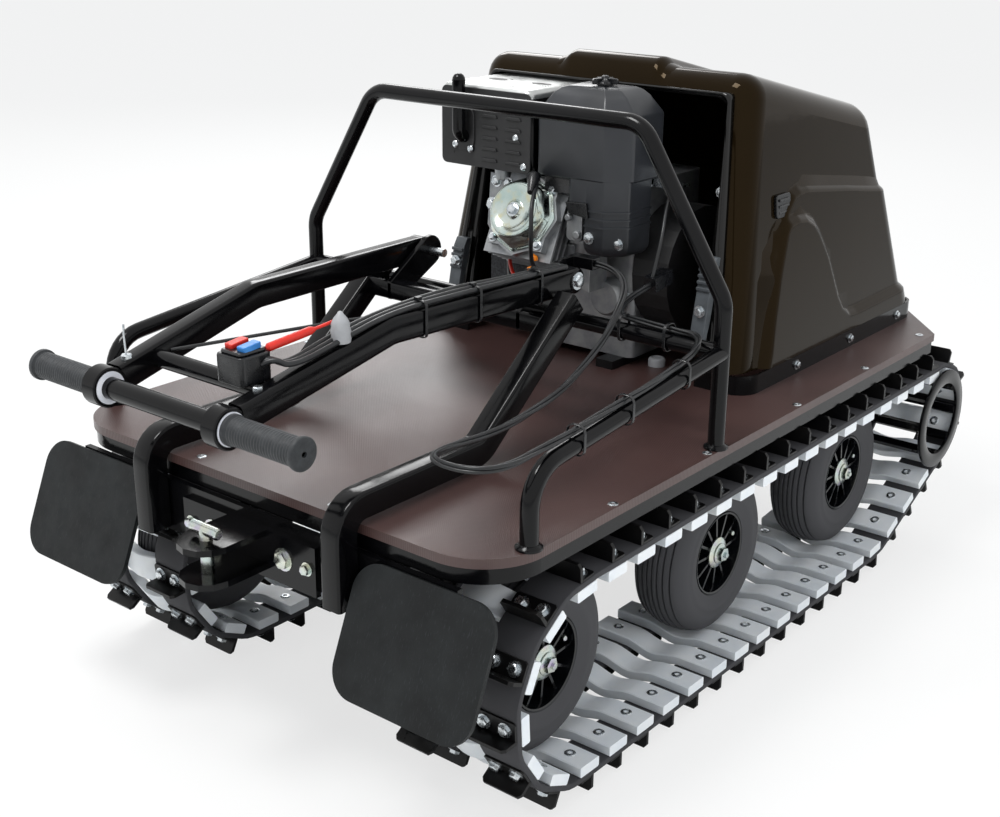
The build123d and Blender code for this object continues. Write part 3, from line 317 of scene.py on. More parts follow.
@dataclass(frozen=True)
class PassivatedZinc(Finish):
    """Zinc plate dipped in chromate, which leaves faint yellow, green and violet clouds."""

    tint: str = "b9a9c9"
    cloud_mm: float = 14.0

    def pattern(self, tree: bpy.types.NodeTree, place: bpy.types.NodeSocket) -> bpy.types.NodeSocket:
        """Clouds of three tints.

        Args:
            tree: the material's node tree.
            place: the socket of the object's own coordinates, in metres.

        Returns:
            The colour socket.
        """
        colour = super().pattern(tree, place)
        cloud = spread(tree, noise(tree, place, 1 / (self.cloud_mm * MM), 2.0), (0.5, 0.75), (0.0, 0.8))
        return tinted(tree, cloud, colour, self.tint)


# Powder-coated steel: a thick, slightly orange-peeled black film with soft highlights
POWDER_COAT = Finish(
    "powder_coated_steel", "040405", "08080a", "black_steel", 80.0, 0.1, 0.2, grain_mm=3.5,
    grain_depth_mm=0.035, ior=1.31,
)
# Hot-rolled plate, sprayed black and rubbed by snow: duller than the tubes
SPRAYED_STEEL = Finish(
    "sprayed_steel", "08080a", "131211", "black_steel", 50.0, 0.26, 0.42, grain_mm=2.5, grain_depth_mm=0.05,
    ior=1.32,
)
# Zinc plate: bright, yellowish, a little cloudy
ZINC = PassivatedZinc("passivated_zinc", "cfd0c2", "b6c6c6", "zinc_steel", 18.0, 0.18, 0.32, metallic=1.0)
# Bright zinc bolts: bluish white metal
BRIGHT_ZINC = Finish("bright_zinc", "d8dcde", "b4bcc2", "zinc_steel", 8.0, 0.2, 0.34, metallic=1.0)
# Pressed steel cover, chromated: the same metal, smoother, with a green-gold cast
COVER_ZINC = PassivatedZinc(
    "pressed_cover_steel", "c6cfca", "a4b8b4", "cover_zinc", 40.0, 0.12, 0.2, metallic=1.0, tint="c2bd9c"
)
# Polyethylene bar: milky white, lets a little light in, dull cut faces
POLYETHYLENE = Finish(
    "milled_polyethylene", "eaedef", "dfe5ea", "white_plastic", 45.0, 0.38, 0.5, grain_mm=1.6,
    grain_depth_mm=0.03, subsurface=0.12,
)
# Reinforced belt rubber: flat black with cloth under it
BELT_RUBBER = ScratchedRubber(
    "belt_rubber", "09090b", "111214", "belt_rubber", 30.0, 0.42, 0.6, grain_mm=1.8, grain_depth_mm=0.08,
    scratch="242629", ior=1.32,
)
# Tyre rubber: grey bloom and dust on the crown
TYRE_RUBBER = Finish(
    "tyre_rubber", "16191c", "2b2f33", "tyre_rubber", 28.0, 0.46, 0.64, grain_mm=1.5, grain_depth_mm=0.07,
    ior=1.38,
)
# Rim nylon, injection moulded: glossy black
RIM_PLASTIC = Finish(
    "moulded_rim_plastic", "060709", "0c0d10", "rim_plastic", 30.0, 0.12, 0.22, grain_mm=2.0,
    grain_depth_mm=0.01,
)
# Deck board: brown phenol film, half glossy, with a pressed mesh
DECK_BOARD = MeshFacedPly(
    "film_faced_plywood", "3f2d2b", "4d3936", "deck_board", 260.0, 0.31, 0.35, grain_depth_mm=0.09
)
# Mudflap rubber, scuffed
FLAP_RUBBER = ScratchedRubber(
    "scuffed_rubber_sheet", "101213", "1c1f20", "black_rubber", 55.0, 0.42, 0.6, grain_mm=2.2,
    grain_depth_mm=0.08, ior=1.31, scratch="34383a",
)
# Grip rubber: soft, dusty
GRIP_RUBBER = Finish(
    "soft_grip_rubber", "1c1f22", "292c2f", "grip_rubber", 12.0, 0.55, 0.7, grain_mm=1.5,
    grain_depth_mm=0.08, sheen=0.1,
)
# Slide bearing plastic: clean white
BEARING_PLASTIC = Finish("bearing_plastic", "e8eaf0", "dadde6", "bushing_plastic", 20.0, 0.35, 0.45)
# Die-cast alloy, bead blasted: pale grey, sparkling grain
CAST_ALLOY = Finish(
    "die_cast_alloy", "a3a5a6", "83868a", "cast_alloy", 25.0, 0.38, 0.52, metallic=0.85, grain_mm=1.2,
    grain_depth_mm=0.12,
)
# Air cleaner: grey ABS with a fine spark-eroded grain
CLEANER_PLASTIC = Finish(
    "grained_abs", "222427", "2c2e32", "cleaner_plastic", 90.0, 0.28, 0.4, grain_mm=1.0, grain_depth_mm=0.03
)
# Muffler top: bare pressed steel, bright
SHIELD_STEEL = Finish(
    "bare_pressed_steel", "c9cbca", "b3b5b4", "muffler_steel", 60.0, 0.26, 0.38, metallic=1.0, grain_mm=1.5
)
# Heat paint: flat black on the muffler and its guard
HEAT_PAINT = Finish(
    "heat_paint", "131314", "1d1d1e", "black_steel", 35.0, 0.42, 0.56, grain_mm=1.2, grain_depth_mm=0.05
)
# Hood: thermoformed sheet, high gloss black; its dark brown base colour is a painted reflection of the brown its sides
# mirror
HOOD_PLASTIC = Finish(
    "thermoformed_gloss_sheet", "1a1309", "130d06", "hood_plastic", 400.0, 0.04, 0.08, grain_mm=45.0,
    grain_depth_mm=0.1, ior=1.25, gleam="dcc09a",
)
# The hood's rolled rear flange: the same sheet, given a blacker copy of the hood's colour as painted shade
SHADED_FLANGE_PLASTIC = Finish(
    "painted_shade_gloss_sheet", "050505", "090807", "hood_plastic", 200.0, 0.04, 0.08, grain_mm=45.0,
    grain_depth_mm=0.1, ior=1.4,
)
# Strap rubber: grey, moulded
STRAP_RUBBER = Finish(
    "moulded_strap_rubber", "4b5054", "3a3e42", "strap_rubber", 18.0, 0.5, 0.62, grain_mm=1.5,
    grain_depth_mm=0.05,
)
# Cable sheath: extruded PVC, half glossy
CABLE_SHEATH = Finish(
    "extruded_cable_sheath", "0f1012", "1c1e20", "cable_sheath", 25.0, 0.28, 0.4, grain_mm=3.0
)
# Control plastic: black, moulded, half glossy
BLACK_PLASTIC = Finish(
    "moulded_black_plastic", "0b0c0e", "131417", "black_plastic", 22.0, 0.22, 0.34, grain_mm=1.4
)
RED_PLASTIC = Finish("moulded_red_plastic", "d42a1c", "bf2216", "black_plastic", 15.0, 0.32, 0.42)
BLUE_PLASTIC = Finish("moulded_blue_plastic", "2f7fc9", "2a6fb4", "black_plastic", 15.0, 0.32, 0.42)
ORANGE_PLASTIC = Finish("moulded_orange_plastic", "f08a1e", "dd7a14", "black_plastic", 12.0, 0.35, 0.45)
GREY_PLUG = Finish("moulded_grey_plug", "a9abad", "98999c", "black_plastic", 18.0, 0.4, 0.5)
# Foam panel: open cell, dark
FOAM = Finish(
    "open_cell_foam", "3b3d40", "17181a", "black_plastic", 3.0, 0.8, 0.95, grain_mm=3.0, grain_depth_mm=0.8
)


# ---------------------------------------------------------------- shapes


def rounded_box_outline(width: float, height: float, radius: float, steps: int = 3) -> list:
    """Outline of a rectangle with round corners, about its centre.

    Args:
        width: size along the first axis.
        height: size along the second axis.
        radius: corner radius.
        steps: straight pieces in each corner.

    Returns:
        Points as pairs, counter-clockwise.
    """
    points = []
    for index, (side_a, side_b) in enumerate(((1, 1), (-1, 1), (-1, -1), (1, -1))):
        for step in range(steps + 1):
            angle = (index + step / steps) * pi / 2
            points.append(
                (
                    side_a * (width / 2 - radius) + radius * cos(angle),
                    side_b * (height / 2 - radius) + radius * sin(angle),
                )
            )
    return points


def turns(count: int) -> list:
    """Angles at even steps round a full turn.

    Args:
        count: how many.

    Returns:
        Angles in radians, from zero.
    """
    return [2 * pi * number / count for number in range(count)]


def circle_outline(radius: float, steps: int = 16) -> list:
    """Outline of a circle, about its centre.

    Args:
        radius: its radius.
        steps: straight pieces round it.

    Returns:
        Points as pairs.
    """
    return [(radius * cos(angle), radius * sin(angle)) for angle in turns(steps)]


def rounded_path(corners: list, radius: float, steps: int = 8) -> list:
    """A bent tube's centreline: straight runs with an arc at each corner.

    Args:
        corners: the points where the runs would meet.
        radius: the bend radius.
        steps: straight pieces in each arc.

    Returns:
        Points as vectors.
    """
    points = [Vector(corners[0])]
    for before, corner, after in zip(corners, corners[1:], corners[2:]):
        corner = Vector(corner)
        first = (Vector(before) - corner).normalized()
        second = (Vector(after) - corner).normalized()
        half = first.angle(second) / 2
        middle = corner + (first + second).normalized() * radius / sin(half)
        start = corner + first * radius / tan(half)
        end = corner + second * radius / tan(half)
        for step in range(steps + 1):
            blend = step / steps
            if step in (0, steps):
                arm = (end if step else start) - middle
            else:
                arm = (start - middle).slerp(end - middle, blend)
            points.append(middle + arm.normalized() * radius)
    points.append(Vector(corners[-1]))
    return points


class Shaper:
    """Collects meshes in millimetres and turns them to one object."""

    def __init__(self) -> None:
        """Start with an empty mesh."""
        self.mesh = bmesh.new()

    def skin(self, rings: list, closed: bool = False, caps: bool = True, loop: bool = True) -> None:
        """Join rings of points into a surface.

        Args:
            rings: lists of points, all of one length.
            closed: whether the last ring joins the first.
            caps: whether the end rings are filled.
            loop: whether each ring is a closed outline.
        """
        made = [[self.mesh.verts.new(point) for point in ring] for ring in rings]
        pairs = list(zip(made, made[1:]))
        if closed:
            pairs.append((made[-1], made[0]))
        for low, high in pairs:
            count = len(low)
            for i in range(count if loop else count - 1):
                j = (i + 1) % count
                self.mesh.faces.new((low[i], low[j], high[j], high[i]))
        if caps and not closed:
            self.mesh.faces.new(made[0][::-1])
            self.mesh.faces.new(made[-1])

    def prism(self, outline: list, origin: tuple, along: tuple, up: tuple, depth: float) -> None:
        """Push an outline through a depth, half to each side of its plane.

        Args:
            outline: pairs in the plane.
            origin: the plane's origin.
            along: direction of the first coordinate.
            up: direction of the second coordinate.
            depth: thickness.
        """
        first = Vector(along).normalized()
        second = Vector(up).normalized()
        normal = first.cross(second) * depth / 2
        flat = [Vector(origin) + first * a + second * b for a, b in outline]
        self.skin([[point - normal for point in flat], [point + normal for point in flat]])

    def box(self, low: tuple, high: tuple) -> None:
        """A box between two corners.

        Args:
            low: the corner with the low coordinates.
            high: the corner with the high ones.
        """
        width, depth = high[0] - low[0], high[1] - low[1]
        middle = ((low[0] + high[0]) / 2, (low[1] + high[1]) / 2, (low[2] + high[2]) / 2)
        half_w, half_d = width / 2, depth / 2
        outline = [(-half_w, -half_d), (half_w, -half_d), (half_w, half_d), (-half_w, half_d)]
        self.prism(outline, middle, (1, 0, 0), (0, 1, 0), high[2] - low[2])

    def lathe(self, profile: list, origin: tuple, axis: tuple, steps: int = 32, ring: bool = False) -> None:
        """Turn a profile about an axis.

        Args:
            profile: pairs of radius and place along the axis.
            origin: a point on the axis.
            axis: its direction.
            steps: straight pieces round the turn.
            ring: whether the profile is itself a closed outline.
        """
        forward = Vector(axis).normalized()
        side = forward.orthogonal().normalized()
        other = forward.cross(side)
        rings = []
        for radius, along in profile:
            middle = Vector(origin) + forward * along
            rings.append([middle + (side * cos(angle) + other * sin(angle)) * radius for angle in turns(steps)])
        self.skin(rings, closed=ring, caps=not ring)

    def sweep(self, path: list, section: list, side: tuple = None, closed: bool = False) -> None:
        """Carry a section along a path.

        Args:
            path: points of the centreline.
            section: pairs about the centreline.
            side: a fixed direction for the section's first axis, or None to let it follow the path.
            closed: whether the path is a loop.
        """
        points = [Vector(point) for point in path]
        count = len(points)
        rings = []
        across = None
        for i, point in enumerate(points):
            before = points[i - 1] if i or closed else point
            after = points[(i + 1) % count] if i < count - 1 or closed else point
            forward = (after - before).normalized()
            if side is not None:
                across = Vector(side).normalized()
            elif across is None:
                across = forward.orthogonal().normalized()
            else:
                across = (across - forward * across.dot(forward)).normalized()
            up = forward.cross(across).normalized()
            rings.append([point + across * a + up * b for a, b in section])
        self.skin(rings, closed=closed)

    def bolt(self, place: tuple, axis: tuple, radius: float = 6.0, height: float = 5.0) -> None:
        """A hexagon bolt head with a chamfered top on a round washer.

        Args:
            place: centre of the seat.
            axis: direction out of the seat.
            radius: across the corners, halved.
            height: of the head.
        """
        washer = 1.2
        self.lathe([(radius * 1.35, -0.6), (radius * 1.35, washer), (radius, washer + 0.1)], place, axis, 16)
        self.lathe(
            [(radius, washer), (radius, washer + height * 0.8), (radius * 0.78, washer + height)], place, axis, 6
        )

    def screw(self, place: tuple, axis: tuple, radius: float = 5.5) -> None:
        """A domed screw head with a socket.

        Args:
            place: centre of the seat.
            axis: direction out of the seat.
            radius: of the head.
        """
        profile = [(radius, -0.6), (radius, 0.4), (radius * 0.85, 1.4), (radius * 0.45, 2.0), (radius * 0.4, 1.0)]
        self.lathe(profile, place, axis, 14)

    def make(
        self,
        name: str,
        finish: Finish,
        body: Body,
        edge: Edge = Edge.SHARP,
        replaces: tuple = (),
        angle: float = 38.0,
    ) -> bpy.types.Object:
        """Turn what was collected to an object on a body.

        Args:
            name: the piece's name.
            finish: its finish.
            body: the body it rides on.
            edge: how its edges are rounded.
            replaces: frame nodes that it stands for.
            angle: edges sharper than this many degrees stay sharp.

        Returns:
            The object.
        """
        bmesh.ops.recalc_face_normals(self.mesh, faces=self.mesh.faces)
        bmesh.ops.scale(self.mesh, vec=(MM, MM, MM), verts=self.mesh.verts)
        data = bpy.data.meshes.new(name)
        self.mesh.to_mesh(data)
        self.mesh.free()
        data.shade_smooth()
        piece = bpy.data.objects.new(name, data)
        bpy.context.scene.collection.objects.link(piece)
        if edge is Edge.SHARP:
            data.set_sharp_from_angle(angle=radians(angle))
        else:
            bevel = piece.modifiers.new("edge", "BEVEL")
            bevel.width = edge.value * MM
            bevel.segments = 2
            bevel.limit_method = "ANGLE"
            bevel.angle_limit = radians(angle)
            bevel.harden_normals = True
        data.materials.append(finish.build())
        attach(piece, body.value)
        if replaces:
            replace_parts(piece, *replaces)
        LOG.info("%s: %d faces on %s", name, len(data.polygons), body.value)
        return piece


def dress(nodes: dict, finish: Finish, *names: str) -> None:
    """Give frame nodes that keep their own shape a finish.

    Args:
        nodes: the frame's nodes by name.
        finish: the finish.
        names: the nodes' names.
    """
    for name in names:
        for holder in nodes[name].material_slots:
            holder.material = finish.build()
        LOG.info("%s: dressed in %s", name, finish.name)


def spline(name: str, points: tuple, radius: float = 0.0) -> bpy.types.Object:
    """A smooth curve with the points as its control points.

    Args:
        name: the curve's name.
        points: places in millimetres.
        radius: the cable's radius in millimetres, or zero for a bare line.

    Returns:
        The curve object.
    """
    data = bpy.data.curves.new(name, "CURVE")
    data.dimensions = "3D"
    line = data.splines.new("NURBS")
    line.points.add(len(points) - 1)
    for knot, (x, y, z) in zip(line.points, points):
        knot.co = (x * MM, y * MM, z * MM, 1.0)
    line.order_u = 3
    line.use_endpoint_u = True
    line.resolution_u = 16
    data.bevel_depth = radius * MM
    data.bevel_resolution = 3
    data.use_fill_caps = True
    piece = bpy.data.objects.new(name, data)
    bpy.context.scene.collection.objects.link(piece)
    return piece


def lay_cable(name: str, points: tuple, radius: float, finish: Finish, body: Body) -> bpy.types.Object:
    """A round cable along a smooth curve, on a body.

    Args:
        name: the piece's name.
        points: the curve's control points in millimetres.
        radius: the cable's radius in millimetres.
        finish: its finish.
        body: the body it rides on.

    Returns:
        The cable.
    """
    cable = spline(name, points, radius)
    cable.data.materials.append(finish.build())
    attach(cable, body.value)
    return cable


# ---------------------------------------------------------------- tracks


@dataclass
class TrackLoop:
    """The closed path through the slats, as the frame has it."""

    tyre_radius: float = 114.3
    slat_width: float = 38.0
    slat_count: int = 43
    phase: float = 8.0
    axle_z: float = 161.874
    rear_x: float = -393.5
    front_x: float = 389.5
    drive_x: float = 600.5
    drive_lift: float = 49.0
    drive_radius: float = 70.0
    stations: list = field(default_factory=list)

    def runs(self) -> list:
        """Arcs about the wheels and straight runs between them.

        Returns:
            For each run its centre or start, its radius or zero, its first outward angle and its length.
        """
        wheel = hypot(self.tyre_radius, self.slat_width / 2)
        drive = hypot(self.drive_radius, self.slat_width / 2)
        circles = (
            (self.rear_x, self.axle_z, wheel),
            (self.front_x, self.axle_z, wheel),
            (self.drive_x, self.axle_z + self.drive_lift, drive),
        )
        normals = []
        for (x1, z1, radius1), (x2, z2, radius2) in zip(circles, circles[1:] + circles[:1]):
            reach = hypot(x2 - x1, z2 - z1)
            normals.append(atan2(z2 - z1, x2 - x1) - acos((radius1 - radius2) / reach))
        runs = []
        for index, (x, z, radius) in enumerate(circles):
            turn = (normals[index] - normals[index - 1]) % (2 * pi)
            runs.append((x, z, radius, normals[index - 1], turn * radius))
            next_x, next_z, next_radius = circles[(index + 1) % 3]
            normal = normals[index]
            begin = (x + radius * cos(normal), z + radius * sin(normal))
            end = (next_x + next_radius * cos(normal), next_z + next_radius * sin(normal))
            runs.append((begin[0], begin[1], 0, normal, hypot(end[0] - begin[0], end[1] - begin[1])))
        return runs

    def point(self, reach: float) -> tuple:
        """The point at a distance along the path.

        Args:
            reach: distance from the path's start.

        Returns:
            Its x and z.
        """
        runs = self.runs()
        reach %= sum(run[4] for run in runs)
        for x, z, radius, angle, length in runs:
            if reach <= length:
                break
            reach -= length
        if radius:
            angle += reach / radius
            return x + radius * cos(angle), z + radius * sin(angle)
        return x - reach * sin(angle), z + reach * cos(angle)

    def place_slats(self) -> list:
        """Place every slat.

        Returns:
            Middle x and z, and outward angle, of each.
        """
        pitch = sum(run[4] for run in self.runs()) / self.slat_count
        for number in range(self.slat_count):
            reach = self.phase + number * pitch
            x1, z1 = self.point(reach - self.slat_width / 2)
            x2, z2 = self.point(reach + self.slat_width / 2)
            self.stations.append(((x1 + x2) / 2, (z1 + z2) / 2, atan2(x1 - x2, z2 - z1)))
        return self.stations


@dataclass
class SnowTracks:
    """Two belts a side with white slats inside and steel lugs outside."""

    loop: TrackLoop
    track_y: float = 286.0
    belt_y: float = 68.5
    belt_width: float = 60.0
    belt_thickness: float = 8.0
    slat_thickness: float = 14.0
    lug_height: float = 24.0
    lug_plate: float = 5.0
    lug_along: float = 8.5
    foot_length: float = 26.0
    foot_thickness: float = 3.0
    bolt_spread: float = 15.0
    trough_half: float = 46.0
    trough_depth: float = 9.0

    def spot(self, station: tuple, y: float, height: float, along: float) -> Vector:
        """A point near a slat.

        Args:
            station: the slat's middle and outward angle.
            y: place across the machine.
            height: above the slat's inner face.
            along: distance from the slat's middle, along the belt.

        Returns:
            The point.
        """
        x, z, turn = station
        return Vector((x + height * cos(turn) - along * sin(turn), y, z + height * sin(turn) + along * cos(turn)))

    def belt_line(self, y: float) -> list:
        """Centreline of a belt: flat on each slat, bent smoothly between them.

        Args:
            y: the belt's place across the machine.

        Returns:
            Points as vectors.
        """
        height = self.slat_thickness + self.belt_thickness / 2
        half = self.loop.slat_width / 2
        stations = self.loop.stations
        points = []
        for index, station in enumerate(stations):
            following = stations[(index + 1) % len(stations)]
            points.append(self.spot(station, y, height, -half))
            start = self.spot(station, y, height, half)
            end = self.spot(following, y, height, -half)
            points.append(start)
            gap = (end - start).length
            leave = start + Vector((-sin(station[2]), 0, cos(station[2]))) * gap / 3
            arrive = end - Vector((-sin(following[2]), 0, cos(following[2]))) * gap / 3
            for share in (0.33, 0.67):
                rest = 1 - share
                points.append(
                    start * rest ** 3
                    + leave * 3 * rest * rest * share
                    + arrive * 3 * rest * share * share
                    + end * share ** 3
                )
        return points

    def slat(self, shaper: Shaper, station: tuple, y: float) -> None:
        """One slat: flat ends, and a shallow trough in the middle that the tyres run in.

        Args:
            shaper: collects the slats.
            station: the slat's middle and outward angle.
            y: the track's middle.
        """
        end = self.belt_y + self.belt_width / 2
        turn = station[2]
        places = [-end, -end + 2]
        places += [-end + 2 + (2 * end - 4) * i / 22 for i in range(1, 22)]
        places += [end - 2, end]
        path = []
        for place in places:
            dip = 0.0
            if abs(place) < self.trough_half:
                dip = self.trough_depth * cos(place / self.trough_half * pi / 2) ** 2
            path.append(self.spot(station, y + place, self.slat_thickness / 2 + dip, 0))
        section = rounded_box_outline(self.loop.slat_width, self.slat_thickness, 1.5, 1)
        shaper.sweep(path, section, side=(-sin(turn), 0, cos(turn)))

    def lug(self, plates: Shaper, bolts: Shaper, station: tuple, y: float) -> None:
        """One lug: an upright plate on a foot that two bolts hold through the belt and the slat.

        Args:
            plates: collects the plates and feet.
            bolts: collects the bolts.
            station: the slat's middle and outward angle.
            y: the belt's middle.
        """
        turn = station[2]
        out = Vector((cos(turn), 0, sin(turn)))
        base = self.slat_thickness + self.belt_thickness
        half = self.belt_width / 2 - 1
        top = self.lug_height
        outline = [(-half, 0), (half, 0), (half, top - 5), (half - 4, top), (4 - half, top), (-half, top - 5)]
        plates.prism(outline, self.spot(station, y, base, self.lug_along), (0, 1, 0), out, self.lug_plate)
        foot = rounded_box_outline(2 * half, self.foot_length, 3, 1)
        middle = self.spot(station, y, base + self.foot_thickness / 2, self.lug_along - self.foot_length / 2)
        plates.prism(foot, middle, (0, 1, 0), (-sin(turn), 0, cos(turn)), self.foot_thickness)
        for side in (-1, 1):
            seat = self.spot(station, y + side * self.bolt_spread, base + self.foot_thickness, -5)
            bolts.bolt(seat, out, 7.0, 5.5)

    def build(self) -> None:
        """Make belts, slats, lugs and their bolts."""
        self.loop.place_slats()
        section = rounded_box_outline(self.belt_width, self.belt_thickness, 1.6, 2)
        for name, side in SIDES:
            middle = side * self.track_y
            belts, slats, lugs, bolts, screws = (Shaper() for _ in range(5))
            for place in (-1, 1):
                y = middle + place * self.belt_y
                belts.sweep(self.belt_line(y), section, side=(0, 1, 0), closed=True)
                for station in self.loop.stations:
                    self.lug(lugs, bolts, station, y)
                    inward = (-cos(station[2]), 0, -sin(station[2]))
                    head = [(7.5, -1), (7.5, 0.5), (6.5, 1.1), (3.6, 1.1), (3.2, -1.5)]
                    screws.lathe(head, self.spot(station, y, 0, 0), inward, 14)
            for station in self.loop.stations:
                self.slat(slats, station, middle)
            belts.make(f"belts_{name}", BELT_RUBBER, Body.CHASSIS, replaces=(f"track_belts_{name}",))
            slats.make(f"slats_{name}", POLYETHYLENE, Body.CHASSIS, replaces=(f"track_slats_{name}",))
            lugs.make(f"lugs_{name}", SPRAYED_STEEL, Body.CHASSIS, Edge.FINE)
            bolts.make(f"lug_bolts_{name}", BRIGHT_ZINC, Body.CHASSIS)
            screws.make(f"slat_screws_{name}", BRIGHT_ZINC, Body.CHASSIS)


@dataclass
class RunningWheels:
    """Six grooved tyres on ribbed rims, and the cages that drive the tracks."""

    places: tuple = ((-393.5, 161.874), (7.5, 160.3), (389.5, 161.874))
    track_y: float = 286.0
    rib_count: int = 12
    drive_x: float = 600.5
    drive_z: float = 210.874
    cage_half: float = 103.0
    cage_bars: int = 8
    crown_radius: float = 120.5
    groove_radius: float = 116.5
    crown_drop: float = 9.5

    def tyre_profile(self) -> list:
        """Section from bead to bead: round walls and a crown with grooves.

        Returns:
            Pairs of radius and place along the axle.
        """
        wall = [(60.5, -33), (62, -36), (66, -37), (78, -41), (84, -42), (86, -41), (92, -42), (102, -39), (108, -35)]
        profile = list(wall)
        crown = [-31, -21, -12, -4, 4, 12, 21, 31]
        for index, y in enumerate(crown):
            radius = self.crown_radius - self.crown_drop * (y / 36) ** 2
            if index:
                groove = (crown[index - 1] + y) / 2
                deep = self.groove_radius - self.crown_drop * (groove / 36) ** 2
                profile += [(deep + 3.6, groove - 1.5), (deep, groove - 1)]
                profile += [(deep, groove + 1), (deep + 3.6, groove + 1.5)]
            profile.append((radius, y))
        return profile + [(radius, -along) for radius, along in wall[::-1]]

    def build(self) -> None:
        """Make tyres, rims, hub caps, axles and cages."""
        tyres, rims, caps, axles, cages = (Shaper() for _ in range(5))
        for _, side in SIDES:
            y = side * self.track_y
            for x, z in self.places:
                out = (0, side, 0)
                tyres.lathe(self.tyre_profile(), (x, y, z), out, 72, True)
                face = [(60.6, 34), (60, 36), (57.5, 35.4), (56, 26), (53, 12)]
                face += [(26, 10), (22, 12), (22, 30), (20, 32), (12.2, 32)]
                rim = face + [(radius, -along) for radius, along in face[::-1]]
                rims.lathe(rim, (x, y, z), out, 48, True)
                for angle in turns(self.rib_count):
                    spoke = (cos(angle), 0, sin(angle))
                    for face_side in (-1, 1):
                        outline = [(20, 9), (55, 9), (56.5, 28), (24, 30), (20, 30)]
                        rims.prism(outline, (x, y, z), spoke, (0, side * face_side, 0), 3.6)
                caps.lathe([(22, 30), (22.5, 32.5), (20, 34.6), (14, 35.4), (13, 34.6)], (x, y, z), out, 32)
                caps.lathe([(15, 34), (15, 37), (13.5, 38)], (x, y, z), out, 24)
                caps.lathe([(10.5, 37), (10.5, 44), (8.5, 45.5)], (x, y, z), out, 6)
                caps.lathe([(4, 44), (4, 48), (3, 48.8)], (x, y, z), out, 12)
                stem = (x + 44 * cos(0.35), y + side * 12, z + 44 * sin(0.35))
                caps.lathe([(4.5, 0), (4.5, 12), (3.6, 13), (3.6, 20), (2.6, 21)], stem, out, 10)
            for place in (-1, 1):
                hoop = [(60.5, -2.2), (62, -3), (82, -3), (83.6, -2), (83.6, 2), (82, 3), (62, 3), (60.5, 2.2)]
                cages.lathe(hoop, (self.drive_x, y + place * self.cage_half, self.drive_z), (0, 1, 0), 56, True)
            for angle in turns(self.cage_bars):
                spoke = (cos(angle), 0, sin(angle))
                outline = [(58, -102), (69.5, -102), (69.5, 102), (58, 102)]
                cages.prism(outline, (self.drive_x, y, self.drive_z), spoke, (0, 1, 0), 12)
            disc_y = side * (self.track_y - 60)
            disc = [(30, -3), (66, -3), (67.5, -1.5), (67.5, 1.5), (66, 3), (30, 3), (28, 9), (18, 9)]
            cages.lathe(disc, (self.drive_x, disc_y, self.drive_z), (0, side, 0), 40)
        for x, z in self.places:
            axles.lathe([(10, -268), (12, -266), (12, 266), (10, 268)], (x, 0, z), (0, 1, 0), 28)
        axles.lathe([(13, -223), (15, -221), (15, 221), (13, 223)], (self.drive_x, 0, self.drive_z), (0, 1, 0), 28)
        tyres.make("grooved_tyres", TYRE_RUBBER, Body.CHASSIS, replaces=("tyres",), angle=42)
        rims.make("ribbed_rims", RIM_PLASTIC, Body.CHASSIS, replaces=("rims",))
        caps.make("hub_bolts", ZINC, Body.CHASSIS, replaces=("hub_caps",))
        axles.make("wheel_axles", ZINC, Body.CHASSIS, replaces=("axles",))
        cages.make("track_cages", POWDER_COAT, Body.CHASSIS, Edge.FINE, replaces=("drive_cages",))


# ---------------------------------------------------------------- deck, rails and handlebar


@dataclass
class Deck:
    """The board, its steel edge, the frame below and the mudflaps."""

    top_z: float = 363.0
    screws: tuple = (
        (118.5, -366), (331.5, -366), (547.5, -358), (690, -236), (-542.5, -117), (-120, -366), (-330, -366),
    )
    plug: tuple = (138.8, -119.1)
    skirt_z: float = 377.0
    pin_x: float = -637.5

    def build(self, nodes: dict) -> None:
        """Dress the nodes that keep their shape and add screws and the plug.

        Args:
            nodes: the frame's nodes by name.
        """
        dress(nodes, DECK_BOARD, "deck")
        dress(nodes, POWDER_COAT, "deck_edge", "rear_plate", "tow_coupling", "hood_skirt")
        dress(nodes, SPRAYED_STEEL, "frame", "engine_base", "hinge_brackets", "hood_hinges")
        dress(nodes, FLAP_RUBBER, "mudflaps")
        screws = Shaper()
        for x, y in self.screws:
            for side in (-1, 1):
                profile = [(6.5, -0.6), (6.5, 0.3), (5.6, 0.9), (2.6, 1.0), (2.2, -0.4)]
                screws.lathe(profile, (x, side * y, self.top_z), (0, 0, 1), 16)
        screws.make("deck_screws", BRIGHT_ZINC, Body.CHASSIS)
        skirt = Shaper()
        for x in (240.5, 415.5, 586.5):
            for side in (-1, 1):
                skirt.bolt((x, side * 299, self.skirt_z), (0, side, 0), 5.5, 4.0)
        for y in (-120, 0, 120):
            skirt.bolt((660.5, y, self.skirt_z), (1, 0, 0), 5.5, 4.0)
        skirt.make("skirt_bolts", BRIGHT_ZINC, Body.CHASSIS)
        plug = Shaper()
        plug.lathe([(13, -1), (13, 9), (11.5, 12), (8.5, 13), (8, 11)], (*self.plug, self.top_z), (0, 0, 1), 24)
        plug.make("drain_plug", GREY_PLUG, Body.CHASSIS)
        hitch = Shaper()
        for y, radius in ((-64, 11), (-104, 6.5), (64, 11), (104, 6.5)):
            hitch.bolt((-575.4, y, 288), (-1, 0, 0), radius, 7)
        hitch.make("hitch_bolts", ZINC, Body.CHASSIS)
        pin = Shaper()
        pin.lathe([(6, -38), (8, -35), (8, 38), (7, 40)], (self.pin_x, 0, 292), (0, 0, 1), 24)
        pin.lathe([(5.5, -24), (7.5, -22), (7.5, 22), (5.5, 24)], (self.pin_x, 0, 330), (0, 1, 0), 20)
        pin.make("drawbar_pin", ZINC, Body.CHASSIS, replaces=("tow_pin",))


